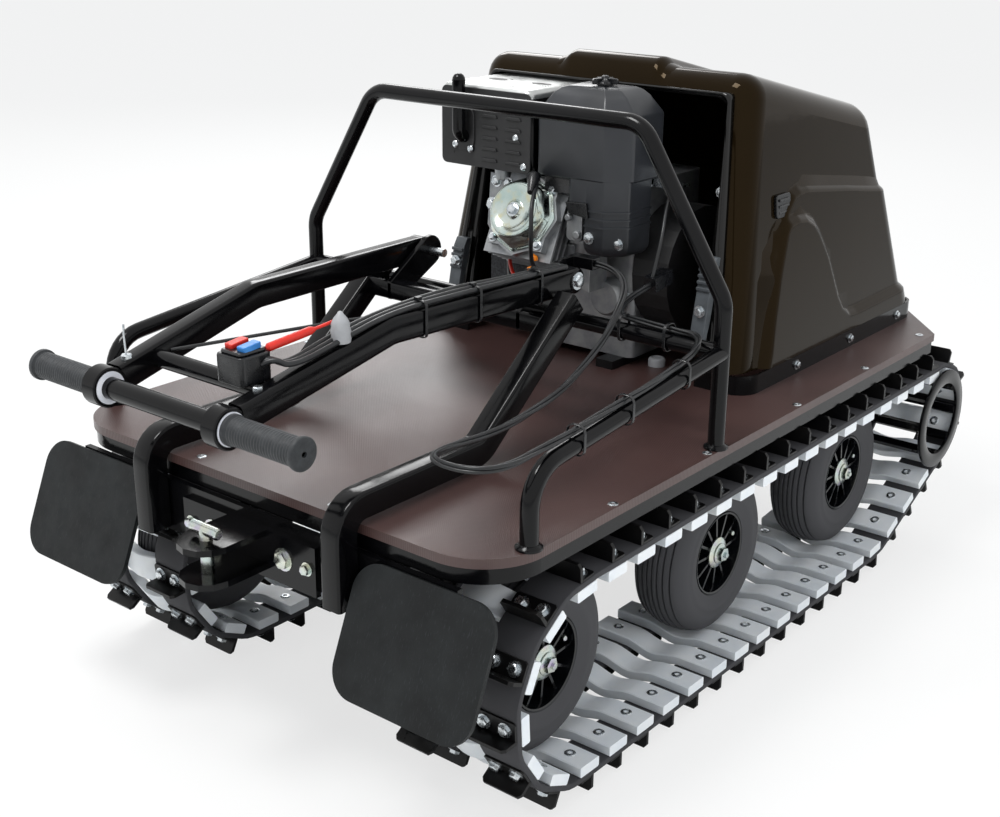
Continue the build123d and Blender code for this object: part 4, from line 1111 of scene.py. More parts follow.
@dataclass
class Rails:
    """The guard hoop, side rails, cross tube and the two handlebar posts."""

    hoop_x: float = -96.5
    foot_y: float = 364.0
    deck_z: float = 363.0
    tube: float = 11.0
    rear_x: float = -487.5
    rail_z: float = 491.0
    post_y: float = 168.0
    pivot_x: float = -111.5
    pivot_z: float = 550.0

    def build(self) -> None:
        """Make the round tubes and the square posts with their ears."""
        tube = circle_outline(self.tube, 20)
        rails = Shaper()
        hoop = rounded_path(
            [
                (self.hoop_x, -self.foot_y, self.deck_z), (self.hoop_x, -self.foot_y, 557),
                (self.hoop_x, -232, 765), (self.hoop_x, 232, 765),
                (self.hoop_x, self.foot_y, 557), (self.hoop_x, self.foot_y, self.deck_z),
            ],
            45,
        )
        rails.sweep(hoop, tube, side=(1, 0, 0))
        for _, side in SIDES:
            y = side * self.foot_y
            corners = [(self.rear_x, y, self.deck_z), (self.rear_x, y, 452), (self.hoop_x, y, self.rail_z)]
            rail = rounded_path(corners, 50)
            rails.sweep(rail, tube, side=(0, 1, 0))
        cross = [(self.hoop_x, side * self.foot_y, self.rail_z) for side in (-1, 1)]
        rails.sweep(cross, tube, side=(1, 0, 0))
        for x in (self.hoop_x, self.rear_x):
            for _, side in SIDES:
                foot = [(16, 0), (16, 2.5), (12.5, 4.5), (11.2, 6)]
                rails.lathe(foot, (x, side * self.foot_y, self.deck_z), (0, 0, 1), 24)
        rails.make("guard_tubes", POWDER_COAT, Body.CHASSIS, replaces=("guard_rails",), angle=50)
        posts = Shaper()
        section = rounded_box_outline(30, 34, 4, 3)
        for _, side in SIDES:
            y = side * self.post_y
            corners = [(-584.5, y, 265), (-584.5, y, 384), (-341.5, y, 384), (-153.5, y, 536)]
            posts.sweep(rounded_path(corners, 32, 7), section, side=(0, 1, 0))
        posts.sweep([(-183.5, -153, 508), (-183.5, 153, 508)], rounded_box_outline(26, 26, 3, 2), side=(1, 0, 0))
        ears = Shaper()
        for _, side in SIDES:
            turned = [radians(angle) for angle in range(-60, 136, 13)]
            outline = [(self.pivot_x + 22 * cos(angle), self.pivot_z + 22 * sin(angle)) for angle in turned]
            outline += [(-196.5, 521), (-196.5, 495), (-170.5, 495)]
            ears.prism(outline, (0, side * 115, 0), (1, 0, 0), (0, 0, 1), 8)
        ears.prism(
            [(-100.5, -111), (-62.5, -111), (-62.5, -150), (-80.5, -150), (-80.5, -119), (-100.5, -119)],
            (0, 0, 566), (1, 0, 0), (0, 1, 0), 16,
        )
        ears.make("pivot_ears", POWDER_COAT, Body.CHASSIS, Edge.SOFT)
        posts.make("handlebar_posts", POWDER_COAT, Body.CHASSIS, replaces=("handlebar_supports",), angle=50)
        pins = Shaper()
        for _, side in SIDES:
            seat = (self.pivot_x, side * 136, self.pivot_z)
            pins.lathe([(6, -50), (6, -12), (6, 17)], seat, (0, side, 0), 16)
            pins.bolt((self.pivot_x, side * 148.4, self.pivot_z), (0, side, 0), 9, 5)
        pins.make("pivot_bolts", BRIGHT_ZINC, Body.CHASSIS, replaces=("pivot_pins",))


@dataclass
class Handlebar:
    """The folding frame with its end rings, and the turning bar with grips."""

    pivot: tuple = (-111.5, 136.0, 550.0)
    bend: tuple = (-443.5, 554.0)
    bar: tuple = (-685.5, 104.0, 498.0)
    arm_width: float = 24.0
    box_x: float = -624.5

    def build(self, nodes: dict) -> None:
        """Make arms, rings, bushings, grips and the controls.

        Args:
            nodes: the frame's nodes by name.
        """
        arms, rings, bushings, grips = (Shaper() for _ in range(4))
        for _, side in SIDES:
            start = Vector((self.pivot[0], side * self.pivot[1], self.pivot[2]))
            along = Vector((self.bar[0] - self.pivot[0], side * (self.bar[1] - self.pivot[1]), 0))
            run = along.length
            bend_run = run * (self.bend[0] - self.pivot[0]) / (self.bar[0] - self.pivot[0])
            rise, drop = self.bend[1] - self.pivot[2], self.bar[2] - self.pivot[2]
            path = rounded_path([(0, 0, 0), (bend_run, 0, rise), (run - 19, 0, drop + 5)], 60, 6)
            direction = along.normalized()
            line = [start + direction * p.x + Vector((0, 0, p.z)) for p in path]
            arms.sweep(line, rounded_box_outline(self.arm_width, 34, 4, 3), side=direction.cross(Vector((0, 0, 1))))
            arms.lathe([(15, -12), (17.5, -10), (17.5, 10), (15, 12)], start, (0, 1, 0), 32)
            ring = [(19.3, -11), (20.5, -12), (22.5, -12), (24, -10.5)]
            ring += [(radius, -along) for radius, along in ring[::-1]]
            place = (self.bar[0], side * self.bar[1], self.bar[2])
            rings.lathe(ring, place, (0, 1, 0), 40, True)
            bush = [(13.2, -12.6), (19, -12.6), (19.4, -12), (19.4, 12), (19, 12.6), (13.2, 12.6)]
            bushings.lathe(bush, place, (0, 1, 0), 40, True)
            profile = [(13.4, 115), (17.5, 115.5), (18, 117), (18, 121), (16, 122.5)]
            for number in range(22):
                y = 124 + number * 4.3
                profile += [(15.4, y), (16.4, y + 1.2), (16.4, y + 2.8), (15.4, y + 4)]
            profile += [(16, 219.5), (18.6, 220.5), (19, 222), (19, 225.5), (17.5, 227), (3.5, 227), (3.2, 224)]
            grips.lathe(profile, (self.bar[0], 0, self.bar[2]), (0, side, 0), 32)
        arms.sweep([(-611.5, -104, 515), (-611.5, 104, 515)], circle_outline(11, 20), side=(1, 0, 0))
        arms.make("arm_tubes", POWDER_COAT, Body.ARMS, replaces=("handlebar_frame",), angle=50)
        rings.make("bar_rings", POWDER_COAT, Body.ARMS)
        bushings.make("white_bushings", BEARING_PLASTIC, Body.ARMS, replaces=("bar_bushings",))
        grips.make("ribbed_grips", GRIP_RUBBER, Body.BAR, replaces=("grips",), angle=50)
        dress(nodes, POWDER_COAT, "handlebar")
        self.controls()

    def controls(self) -> None:
        """Make the switch box, the red tether, the rubber boot and small fittings."""
        box = Shaper()
        box.prism(rounded_box_outline(46, 44, 7, 3), (self.box_x, -70, 544), (1, 0, 0), (0, 1, 0), 34)
        box.prism(rounded_box_outline(40, 36, 6, 3), (self.box_x, -70, 563), (1, 0, 0), (0, 1, 0), 5)
        box.make("control_box", BLACK_PLASTIC, Body.ARMS, Edge.ROUND, replaces=("switch_box",))
        for name, finish, y in (("red_rocker", RED_PLASTIC, -60), ("blue_rocker", BLUE_PLASTIC, -80)):
            rocker = Shaper()
            rocker.prism(rounded_box_outline(26, 13, 2, 2), (self.box_x, y, 568), (1, 0, 0.1), (0, 1, 0), 7)
            rocker.make(name, finish, Body.ARMS, Edge.SOFT)
        tether = Shaper()
        sleeve = [(2.5, 0), (5, 3), (5, 56), (3.5, 60), (2, 63), (2, 92)]
        tether.lathe(sleeve, (-604, -84, 562), (0.94, -0.27, 0.2), 14)
        tether.make("tether_sleeve", RED_PLASTIC, Body.ARMS)
        boot = Shaper()
        profile = [(11, 0), (12, 4), (11, 9), (12, 13), (10.5, 18), (11, 22), (8, 28), (4, 33), (2, 36)]
        boot.lathe(profile, (-520, -116, 556), (0, 0, 1), 24)
        boot.make("switch_boot", GREY_PLUG, Body.ARMS, angle=60)
        fittings = Shaper()
        fittings.bolt((-652, 104, 520), (0, 0, 1), 7, 7)
        fittings.bolt((-636, -104, 524), (0, 0, 1), 6, 6)
        loop = [(-652 + 4 * sin(a / 3), 104 + 6 * sin(a / 2), 526 + 12 * a) for a in range(4)]
        fittings.sweep(loop, circle_outline(1.3, 8))
        fittings.make("bar_fittings", BRIGHT_ZINC, Body.ARMS)
        rod = Shaper()
        rod.sweep([(-606, 80, 527), (-420, -20, 540), (-260, -118, 548)], circle_outline(2.2, 8))
        rod.make("thin_cable", CABLE_SHEATH, Body.ARMS)


# ---------------------------------------------------------------- cables


@dataclass
class Cables:
    """Control cables tied along the right arm, and the free loop down to the rail and back."""

    strand: float = 2.3
    strand_spread: float = 2.5
    twist_mm: float = 420.0
    arm_offsets: tuple = (-8.0, 0.0, 8.0)
    route: tuple = (
        (-71.5, -150.3, 566.0), (-71.5, -210.0, 566.0), (-150.5, -228.0, 500.0), (-280.5, -252.0, 462.0),
        (-420.5, -262.0, 452.0), (-556.5, -260.0, 464.0), (-556.5, -364.0, 470.0), (-440.5, -364.0, 473.6),
        (-96.5, -364.0, 507.4), (-96.5, -262.0, 507.4), (-84.5, -176.0, 507.6), (21.5, -176.0, 522.0),
    )

    def arm_y(self, x: float) -> float:
        """Where the right arm's middle lies across the machine.

        Args:
            x: place along it.

        Returns:
            Its y.
        """
        share = (x + 685.5) / 574
        return -104 - 32 * share

    def arm_drop(self, x: float) -> float:
        """How far the arm's front run has come down from its bend.

        Args:
            x: place along it.

        Returns:
            The drop.
        """
        return 4 * (x + 443.5) / 332

    def build(self, nodes: dict) -> None:
        """Make the arm cables, the loop of three strands and the ties.

        Args:
            nodes: the frame's nodes by name.
        """
        for number, offset in enumerate(self.arm_offsets):
            points = []
            for x, lift in ((-596, 0), (-520, 3), (-443.5, 1), (-330, 4), (-240, 1), (-127.5, 0.0)):
                y = self.arm_y(x) + offset * (0.75 if lift < 3 else 1.0)
                top = 571 - self.arm_drop(x) if x > -443.5 else 571 + 49 * (x + 443.5) / 242
                points.append((x, y, top + 4.0 + lift * (1 + number) / 2))
            points = [(-617, -88 + offset / 3, 548), (-609, -97 + offset / 2, 556)] + points
            cable = lay_cable(f"arm_cable_{number + 1}", tuple(points), 3.4, CABLE_SHEATH, Body.ARMS)
            if not number:
                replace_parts(cable, "arm_cables")
        line = spline("loop_line", self.route)
        sampled = bpy.data.meshes.new_from_object(line)
        path = [vertex.co.copy() for vertex in sampled.vertices]
        bpy.data.objects.remove(line)
        strands = Shaper()
        for number in range(3):
            reach = 0.0
            points = []
            across = None
            for index, point in enumerate(path):
                before, after = path[max(index - 1, 0)], path[min(index + 1, len(path) - 1)]
                forward = (after - before).normalized()
                across = forward.orthogonal() if across is None else across - forward * across.dot(forward)
                across.normalize()
                angle = 2 * pi * (number / 3 + reach / (self.twist_mm * MM))
                shift = across * cos(angle) + forward.cross(across) * sin(angle)
                points.append((point / MM) + shift * self.strand_spread)
                reach += (after - point).length
            strands.sweep(points, circle_outline(self.strand, 10))
        bundle = strands.make("cable_bundle", CABLE_SHEATH, Body.CHASSIS, replaces=("cable_loop",), angle=60)
        dress(nodes, BLACK_PLASTIC, "wire_connector")
        self.ties()

    def ties(self) -> None:
        """Black ties that hold the cables to the arm and to the rails."""
        arm = Shaper()
        for x in (-395, -300, -185):
            y = self.arm_y(x)
            top = 554 - self.arm_drop(x)
            outer = rounded_box_outline(27.5, 45, 5, 3)
            ring = [(x, y + a, top + 3.5 + b) for a, b in outer]
            arm.sweep(ring, rounded_box_outline(4.5, 1.3, 0.4, 1), side=(1, 0, 0), closed=True)
            arm.box((x - 4, y - 3, top + 25), (x + 4, y + 3, top + 30))
        arm.make("arm_ties", BLACK_PLASTIC, Body.ARMS)
        rail = Shaper()
        places = [((x, -364, 491 - (-96.5 - x) * 0.0997), (0, 1, 0), (0, 0, 1)) for x in (-405, -310, -190)]
        places += [((-96.5, y, 491), (1, 0, 0), (0, 0, 1)) for y in (-285, -215)]
        for middle, first, up in places:
            outer = rounded_box_outline(24.5, 36, 9, 4)
            ring = [Vector(middle) + Vector(first) * a + Vector(up) * (b + 5) for a, b in outer]
            side = Vector(first).cross(Vector(up))
            rail.sweep(ring, rounded_box_outline(4.5, 1.3, 0.4, 1), side=tuple(side), closed=True)
        rail.make("rail_ties", BLACK_PLASTIC, Body.CHASSIS)


# ---------------------------------------------------------------- engine


@dataclass
class Engine:
    """The air-cooled engine seen from its head side."""

    crank: tuple = (193.5, 42.0, 508.0)
    tilt: float = 25.0
    length: float = 200.0

    def rings(self, shape: list, levels: tuple) -> list:
        """Copies of a plan outline at several heights, each pulled in.

        Args:
            shape: plan outline, as pairs.
            levels: pairs of height and inset.

        Returns:
            Rings of points.
        """
        centre_x = sum(x for x, _ in shape) / len(shape)
        centre_y = sum(y for _, y in shape) / len(shape)
        made = []
        for z, inset in levels:
            ring = []
            for x, y in shape:
                reach = hypot(x - centre_x, y - centre_y)
                share = (reach - inset) / reach
                ring.append((centre_x + (x - centre_x) * share, centre_y + (y - centre_y) * share, z))
            made.append(ring)
        return made

    def rounded_plan(self, corners: list, radius: float) -> list:
        """Round the corners of a plan polygon.

        Args:
            corners: the polygon, as pairs.
            radius: the corners' radius.

        Returns:
            Points as pairs.
        """
        points = []
        count = len(corners)
        for i in range(count):
            triple = [(*corners[(i + k) % count], 0) for k in (-1, 0, 1)]
            points += [(p.x, p.y) for p in rounded_path(triple, radius, 6)[1:-1]]
        return points

    def cover(self) -> None:
        """The pressed valve cover: an eight-sided dish with a round raised eye and a nut."""
        out = Vector((-cos(radians(self.tilt)), 0, sin(radians(self.tilt))))
        across = Vector((0, 1, 0))
        up = across.cross(out)
        base = Vector(self.crank) + out * self.length
        levels = (  # radius, height, share of the circle against the eight-sided outline
            (57.5, 0, 0.0), (58, 1.5, 0.0), (56, 2.5, 0.0), (54, 3, 0.0), (52, 5, 0.0), (50.5, 14, 0.1),
            (48.5, 18, 0.3), (45, 20.5, 0.7), (43, 22.5, 1.0), (40.5, 25.6, 1.0), (38, 26.6, 1.0), (35, 26.2, 1.0),
            (29, 23.8, 1.0), (21, 21.8, 1.0), (15, 21.4, 1.0), (12.5, 22.6, 1.0), (11, 25.0, 1.0), (8, 25.6, 1.0),
        )
        rings = []
        for radius, height, roundness in levels:
            ring = []
            for angle in turns(64):
                sector = (angle % (pi / 4)) - pi / 8
                flat = cos(pi / 8) / cos(sector)
                reach = radius * (flat * (1 - roundness) + roundness)
                reach = min(reach, radius * (0.985 * (1 - roundness) + roundness))
                ring.append(base + out * height + (across * cos(angle) + up * sin(angle)) * reach)
            rings.append(ring)
        dish = Shaper()
        dish.skin(rings)
        dish.make("head_cover", COVER_ZINC, Body.CHASSIS, replaces=("valve_cover",), angle=60)
        nut = Shaper()
        nut.bolt(base + out * 25.5, out, 8, 6)
        for angle in (45, 135, 225, 315):
            spot = base + (across * cos(radians(angle)) + up * sin(radians(angle))) * 58 + out * 0.5
            nut.bolt(spot, out, 5.5, 5)
        nut.make("head_bolts", BRIGHT_ZINC, Body.CHASSIS)

    def cleaner(self) -> None:
        """The tall air cleaner with its faceted front, ribs and star knob."""
        body = Shaper()
        upper = self.rounded_plan([(20.8, 25.8), (20.8, -91), (48.5, -123.8), (125, -123.8), (125, 25.8)], 7)
        body.skin(
            self.rings(upper, ((652, 3), (655, 0), (742, 0), (746, 1.5), (764, 17), (768, 20), (776, 31), (779.5, 41)))
        )
        lower = self.rounded_plan([(22, -58), (22, -92), (46, -121), (104, -121), (104, -58)], 6)
        body.skin(self.rings(lower, ((546, 10), (549, 5), (555, 1), (561, 0), (655, 0))))
        for number in range(3):
            z = 589 + 11 * number
            rib = self.rings(lower, ((z - 1.8, 1), (z - 1.2, -2), (z + 1.2, -2), (z + 1.8, 1)))
            body.skin(rib)
        step = self.rounded_plan([(22, -29), (22, -70), (104, -70), (104, -29)], 8)
        body.skin(self.rings(step, ((614.5, 3), (617, 0), (655, 0))))
        body.make("cleaner_housing", CLEANER_PLASTIC, Body.CHASSIS, replaces=("air_cleaner",), angle=32)
        knob = Shaper()
        centre = (73, -54, 779.6)
        knob.lathe([(11, 0), (11, 4), (9, 6), (6, 7), (6, 12), (4, 14)], centre, (0, 0, 1), 20)
        for angle in turns(5):
            outline = [(3, 2), (19, 2), (19.5, 8), (17, 10), (3, 11)]
            knob.prism(outline, centre, (cos(angle), sin(angle), 0), (0, 0, 1), 5)
        knob.make("star_knob", BLACK_PLASTIC, Body.CHASSIS, Edge.SOFT, replaces=("cleaner_knob",))
        screws = Shaper()
        for x, y, z in ((21.5, -70, 572), (38, -110, 566)):
            screws.bolt((x, y, z), (-1, 0, 0), 6.5, 4)
        screws.make("cleaner_screws", BRIGHT_ZINC, Body.CHASSIS)

    def muffler(self) -> None:
        """The muffler, its black guard, the bright top sheet and the outlet."""
        box = Shaper()
        plan = self.rounded_plan([(26, 36), (26, 199), (166, 199), (166, 36)], 16)
        box.skin(self.rings(plan, ((650, 5), (654, 0), (760, 0), (765.5, 3))))
        pipe = rounded_path([(40, 155, 694), (0.5, 155, 694), (0.5, 155, 786)], 12, 6)
        box.sweep(pipe[:-1] + [Vector((0.5, 155, 777))], circle_outline(9.8, 20), side=(0, 1, 0))
        box.lathe([(9.8, 776), (9, 780), (7, 783.5), (4, 785.6)], (0.5, 155, 0), (0, 0, 1), 20)
        box.make("muffler_box", POWDER_COAT, Body.CHASSIS, replaces=("muffler",), angle=50)
        guard = Shaper()
        guard.prism(rounded_box_outline(168, 115, 9, 4), (16.4, 117, 707.5), (0, 1, 0), (0, 0, 1), 2.6)
        for number in range(5):
            for y in (64, 108):
                z = 663 + 16 * number
                louvre = [(y - 15, z - 2.5), (y + 15, z - 2.5), (y + 12, z + 2.5), (y - 12, z + 2.5)]
                guard.prism(louvre, (14.6, 0, 0), (0, 1, 0), (0, 0, 1), 4)
        guard.prism(rounded_box_outline(38, 66, 16, 5), (14.4, 155, 705), (0, 1, 0), (0, 0, 1), 4)
        guard.make("muffler_guard", HEAT_PAINT, Body.CHASSIS, Edge.SOFT)
        top = Shaper()
        sheet = self.rounded_plan([(15.5, 33), (15.5, 201), (170, 201), (170, 33)], 12)
        top.skin(self.rings(sheet, ((757, 0.4), (761, 0), (765.5, 1), (768.6, 5))))
        top.make("muffler_top", SHIELD_STEEL, Body.CHASSIS, replaces=("muffler_shield",), angle=40)
        # Painted shade: dark heat-painted ovals on the bright top sheet and slots on the guard stand in for the shade
        # inside their openings
        hole_shade = Shaper()
        for y in (75, 158):
            oval = [(17 * cos(step / 3), 8.5 * sin(step / 3)) for step in range(19)]
            hole_shade.prism(oval, (95, y, 768.4), (0, 1, 0), (1, 0, 0), 0.9)
        for y, z in ((183, 668), (183, 683), (183, 741)):
            hole_shade.prism([(-7, -2.2), (7, -2.2), (7, 2.2), (-7, 2.2)], (15.0, y, z), (0, 1, 0), (0, 0, 1), 0.8)
        hole_shade.make("painted_shade_openings", HEAT_PAINT, Body.CHASSIS)
        screws = Shaper()
        for y, z in ((140, 742), (143, 676), (172, 680), (60, 700), (45, 660)):
            screws.screw((14.8 if y < 130 else 12.2, y, z), (-1, 0, 0))
        screws.make("guard_screws", BRIGHT_ZINC, Body.CHASSIS)

    def small_parts(self, nodes: dict) -> None:
        """Carburettor, brackets, clips, leads and the foam panel beside the block.

        Args:
            nodes: the frame's nodes by name.
        """
        carb = Shaper()
        carb.prism(rounded_box_outline(40, 27, 5, 3), (50, -43, 584), (1, 0, 0), (0, 1, 0), 52)
        carb.lathe([(12, -20), (14, -17), (14, 0)], (50, -43, 557), (0, 0, 1), 24)
        carb.prism(rounded_box_outline(27, 44, 6, 3), (27, -43, 586), (0, 1, 0), (0, 0, 1), 9)
        carb.lathe([(5, 0), (5, 7), (4, 8)], (22, -36, 598), (-1, 0, 0), 16)
        carb.lathe([(6, 0), (6, 5), (5, 6)], (22, -50, 574), (-1, 0, 0), 16)
        carb.lathe([(11, 0), (12, 4), (12, 22), (9, 24)], (40, 100, 632), (0, 0.2, 1), 20)
        carb.prism(rounded_box_outline(44, 30, 4, 2), (52, 64, 645), (0, 1, 0), (0.4, 0, 1), 24)
        carb.prism([(-60, 552), (-12, 552), (-2, 530), (-8, 500), (-60, 486)], (62, 0, 0), (0, 1, 0), (0, 0, 1), 44)
        carb.prism([(100, 640), (126, 640), (132, 560), (104, 520)], (60, 0, 0), (0, 1, 0), (0, 0, 1), 40)
        carb.lathe([(26, 0), (28, 4), (28, 20), (24, 26)], (104, -60, 470), (-1, 0, 0), 28)
        carb.make("carburettor_castings", CAST_ALLOY, Body.CHASSIS, Edge.SOFT, replaces=("carburettor",))
        dress(nodes, CAST_ALLOY, "engine_block")
        dress(nodes, HEAT_PAINT, "fan_housing")
        black = Shaper()
        black.prism(rounded_box_outline(54, 34, 5, 2), (60, -4, 632), (0, 1, 0), (0, 0, 1), 40)
        black.prism(rounded_box_outline(50, 70, 6, 2), (44, -10, 660), (0, 1, 0), (0.3, 0, 1), 20)
        black.lathe([(9, 0), (10, 6), (8, 16), (6, 26), (5, 34)], (12, 22, 652), (-0.6, -0.3, -0.5), 18)
        black.prism([(-70, 600), (-36, 604), (-30, 620), (-66, 622)], (24, 0, 0), (0, 1, 0), (0, 0, 1), 14)
        black.make("engine_black_parts", BLACK_PLASTIC, Body.CHASSIS, Edge.SOFT)
        levers = Shaper()
        levers.box((107, -156, 639.5), (146, -60, 643))
        levers.prism(rounded_box_outline(34, 26, 4, 2), (108.6, -136, 655), (0, 1, 0), (0, 0, 1), 3.2)
        levers.prism([(-4, -4), (4, -4), (5, 30), (-5, 30)], (106, -112, 642), (0, 1, 0), (0, 0.3, 1), 3)
        levers.bolt((107, -140, 656), (-1, 0, 0), 6, 4)
        levers.bolt((40, 122, 592), (-1, 0, 0), 8, 6)
        levers.bolt((105, -82, 470), (-1, 0, 0), 7, 5)
        levers.bolt((40, 114, 628), (-1, 0, 0), 7, 5)
        levers.make("engine_bright_parts", BRIGHT_ZINC, Body.CHASSIS, Edge.FINE)
        foam = Shaper()
        foam.box((92, 88, 430), (107, 168, 498))
        foam.make("foam_panel", FOAM, Body.CHASSIS, Edge.ROUND)
        clips = Shaper()
        clips.prism(rounded_box_outline(20, 8, 3, 2), (-18, -2, 522), (0, 1, 0), (0, 0, 1), 7)
        clips.prism(rounded_box_outline(14, 7, 2, 2), (-8, 6, 538), (0, 1, 0.4), (0, 0, 1), 7)
        clips.make("orange_clips", ORANGE_PLASTIC, Body.CHASSIS, Edge.SOFT)
        leads = (
            (
                "spark_lead", CABLE_SHEATH, 3.2,
                ((8, 14, 640), (-30, -6, 628), (-38, -12, 580), (-30, -6, 540), (-14, -4, 520), (20, 0, 470)),
            ),
            (
                "red_lead", RED_PLASTIC, 3.0,
                ((88, 120, 530), (60, 104, 520), (30, 80, 506), (10, 50, 488), (40, 20, 450)),
            ),
            (
                "black_lead", CABLE_SHEATH, 3.6,
                ((88, 126, 512), (50, 100, 498), (12, 60, 480), (-2, 24, 470), (40, -10, 452)),
            ),
            ("throttle_lead", CABLE_SHEATH, 2.6, ((28, -176, 532), (44, -178, 580), (80, -160, 620), (116, -146, 645))),
        )
        for name, finish, radius, points in leads:
            lay_cable(name, points, radius, finish, Body.CHASSIS)

    def build(self, nodes: dict) -> None:
        """Make the engine's pieces.

        Args:
            nodes: the frame's nodes by name.
        """
        self.cover()
        self.cleaner()
        self.muffler()
        self.small_parts(nodes)


# ---------------------------------------------------------------- hood


@dataclass
class Hood:
    """The glossy hood: a thin shell in three tiers with a stepped rear flange."""

    low_z: float = 391.0
    rear_low: float = 91.5
    rear_high: float = 162.5
    front_low: float = 644.5
    front_high: float = 531.0
    low_half: float = 283.0
    high_half: float = 240.0
    top_rear: float = 806.0
    roof_slope: float = 71.0 / 306.0
    radius: float = 34.0
    wall: float = 3.0
    step: float = 8.0
    cuts: int = 108
    liner_cuts: int = 8
    middle_tier: tuple = (
        (900, 590), (568.5, 590), (430, 612), (300, 630), (274.5, 630), (255, 625), (232, 604), (215, 575), (192, 520),
        (172, 456), (160.5, 410), (148, 380), (900, 380),
    )
    low_tier: tuple = (
        (900, 420), (650.5, 420), (440, 417), (415, 419), (396, 432), (380, 455), (366.5, 485), (350, 520),
        (322.5, 560),
        (305, 578), (283.5, 589), (258, 593), (231.5, 590), (208, 576), (190, 548), (176, 505), (161.5, 456),
        (148.5, 400), (146, 380), (900, 380),
    )

    def roof_z(self, x: float) -> float:
        """Height of the flat roof at a place along it.

        Args:
            x: the place.

        Returns:
            Its z.
        """
        return self.top_rear - (x - self.rear_high) * self.roof_slope

    def rear_x(self, z: float) -> float:
        """Where the leaning rear face stands at a height.

        Args:
            z: the height.

        Returns:
            Its x.
        """
        return self.rear_low + (self.rear_high - self.rear_low) * (z - self.low_z) / (self.top_rear - self.low_z)

    def inside(self, outline: tuple, x: float, z: float) -> float:
        """Signed distance into an outline.

        Args:
            outline: pairs of x and z.
            x: the point's x.
            z: the point's z.

        Returns:
            The distance to the nearest edge, positive inside.
        """
        nearest = 1e9
        within = False
        count = len(outline)
        for i in range(count):
            ax, az = outline[i]
            bx, bz = outline[(i + 1) % count]
            dx, dz = bx - ax, bz - az
            share = max(0.0, min(1.0, ((x - ax) * dx + (z - az) * dz) / (dx * dx + dz * dz)))
            nearest = min(nearest, hypot(x - ax - share * dx, z - az - share * dz))
            if (az > z) != (bz > z) and x < ax + (z - az) * dx / dz:
                within = not within
        return nearest if within else -nearest

    def ramp(self, value: float, width: float) -> float:
        """A smooth step from zero to one about zero.

        Args:
            value: where on the step.
            width: how wide the step is.

        Returns:
            The height, from zero to one.
        """
        share = max(0.0, min(1.0, value / width + 0.5))
        return share * share * (3 - 2 * share)

    def shell(self, name: str, inset: float, cuts: int) -> bpy.types.Object:
        """One skin of the hood: a tapered box, rounded, gridded and pushed out in tiers.

        Args:
            name: the piece's name.
            inset: how far inside the outer form it lies.
            cuts: grid lines across each face.

        Returns:
            The piece.
        """
        front_half = self.high_half + (self.low_half - self.high_half) * (
            1 - (self.roof_z(self.front_high) - self.low_z) / (self.top_rear - self.low_z)
        )
        corners = {}
        for side in (-1, 1):
            corners["rear_low", side] = (self.rear_low, side * self.low_half, self.low_z)
            corners["front_low", side] = (self.front_low, side * self.low_half, self.low_z)
            corners["front_high", side] = (self.front_high, side * front_half, self.roof_z(self.front_high))
            corners["rear_high", side] = (self.rear_high, side * self.high_half, self.top_rear)
        shaper = Shaper()
        mesh = shaper.mesh
        spots = {key: mesh.verts.new(place) for key, place in corners.items()}
        loops = [[(name, side) for name in ("rear_low", "front_low", "front_high", "rear_high")] for side in (-1, 1)]
        loops += [
            [(low, -1), (low, 1), (high, 1), (high, -1)]
            for low, high in (("front_low", "front_high"), ("front_high", "rear_high"), ("rear_high", "rear_low"),
                              ("rear_low", "front_low"))
        ]
        for keys in loops:
            mesh.faces.new([spots[key] for key in keys])
        bmesh.ops.recalc_face_normals(mesh, faces=mesh.faces)
        bottom = [edge for edge in mesh.edges if all(abs(v.co.z - self.low_z) < 1 for v in edge.verts)]
        upper = [edge for edge in mesh.edges if edge not in bottom]
        bmesh.ops.bevel(mesh, geom=upper, offset=self.radius, segments=6, profile=0.5, affect="EDGES")
        big = [face for face in mesh.faces if face.calc_area() > 40000]
        gone = [face for face in big if face.normal.z < -0.9 or face.normal.x < -0.9]
        bmesh.ops.delete(mesh, geom=gone, context="FACES")
        long_edges = [edge for edge in mesh.edges if edge.calc_length() > 60]
        bmesh.ops.subdivide_edges(mesh, edges=long_edges, cuts=cuts, use_grid_fill=True)
        mesh.normal_update()
        moves = []
        for vertex in mesh.verts:
            x, y, z = vertex.co
            normal = vertex.normal
            move = normal * -inset
            level = Vector((max(normal.x, 0), normal.y, 0))
            if level.length > 0.05:
                stand = self.step * self.ramp(self.inside(self.middle_tier, x, z), 12)
                stand += self.step * self.ramp(self.inside(self.low_tier, x, z), 12)
                move += level.normalized() * stand * min(1.0, level.length * 2)
            if normal.z > 0.5:
                wide = self.ramp(86 - abs(y), 22)
                long = self.ramp(528 - x, 44)
                move += Vector((0, 0, 13 * wide * long))
            moves.append(move)
        for vertex, move in zip(mesh.verts, moves):
            vertex.co += move
        return shaper.make(name, HOOD_PLASTIC, Body.HOOD, angle=60)

    def flange_line(self, half_low: float, half_high: float, top: float, radius: float) -> list:
        """An arch across the rear face, from low on the right to low on the left.

        Args:
            half_low: half its width at the hood's lower edge.
            half_high: half its width at the top.
            top: its height.
            radius: its corners' radius.

        Returns:
            Points as pairs of y and z.
        """
        rise, pull = top - radius - self.low_z, half_low - half_high
        points = [(pull * i / 30 - half_low, self.low_z + rise * i / 30) for i in range(30)]
        for i in range(13):
            angle = pi - i / 12 * pi / 2
            points.append((-half_high + radius + radius * cos(angle), top - radius + radius * sin(angle)))
        points += [(-half_high + radius + (half_high - radius) * i / 15, top) for i in range(1, 15)]
        return points + [(0, top)] + [(-y, z) for y, z in points[::-1]]

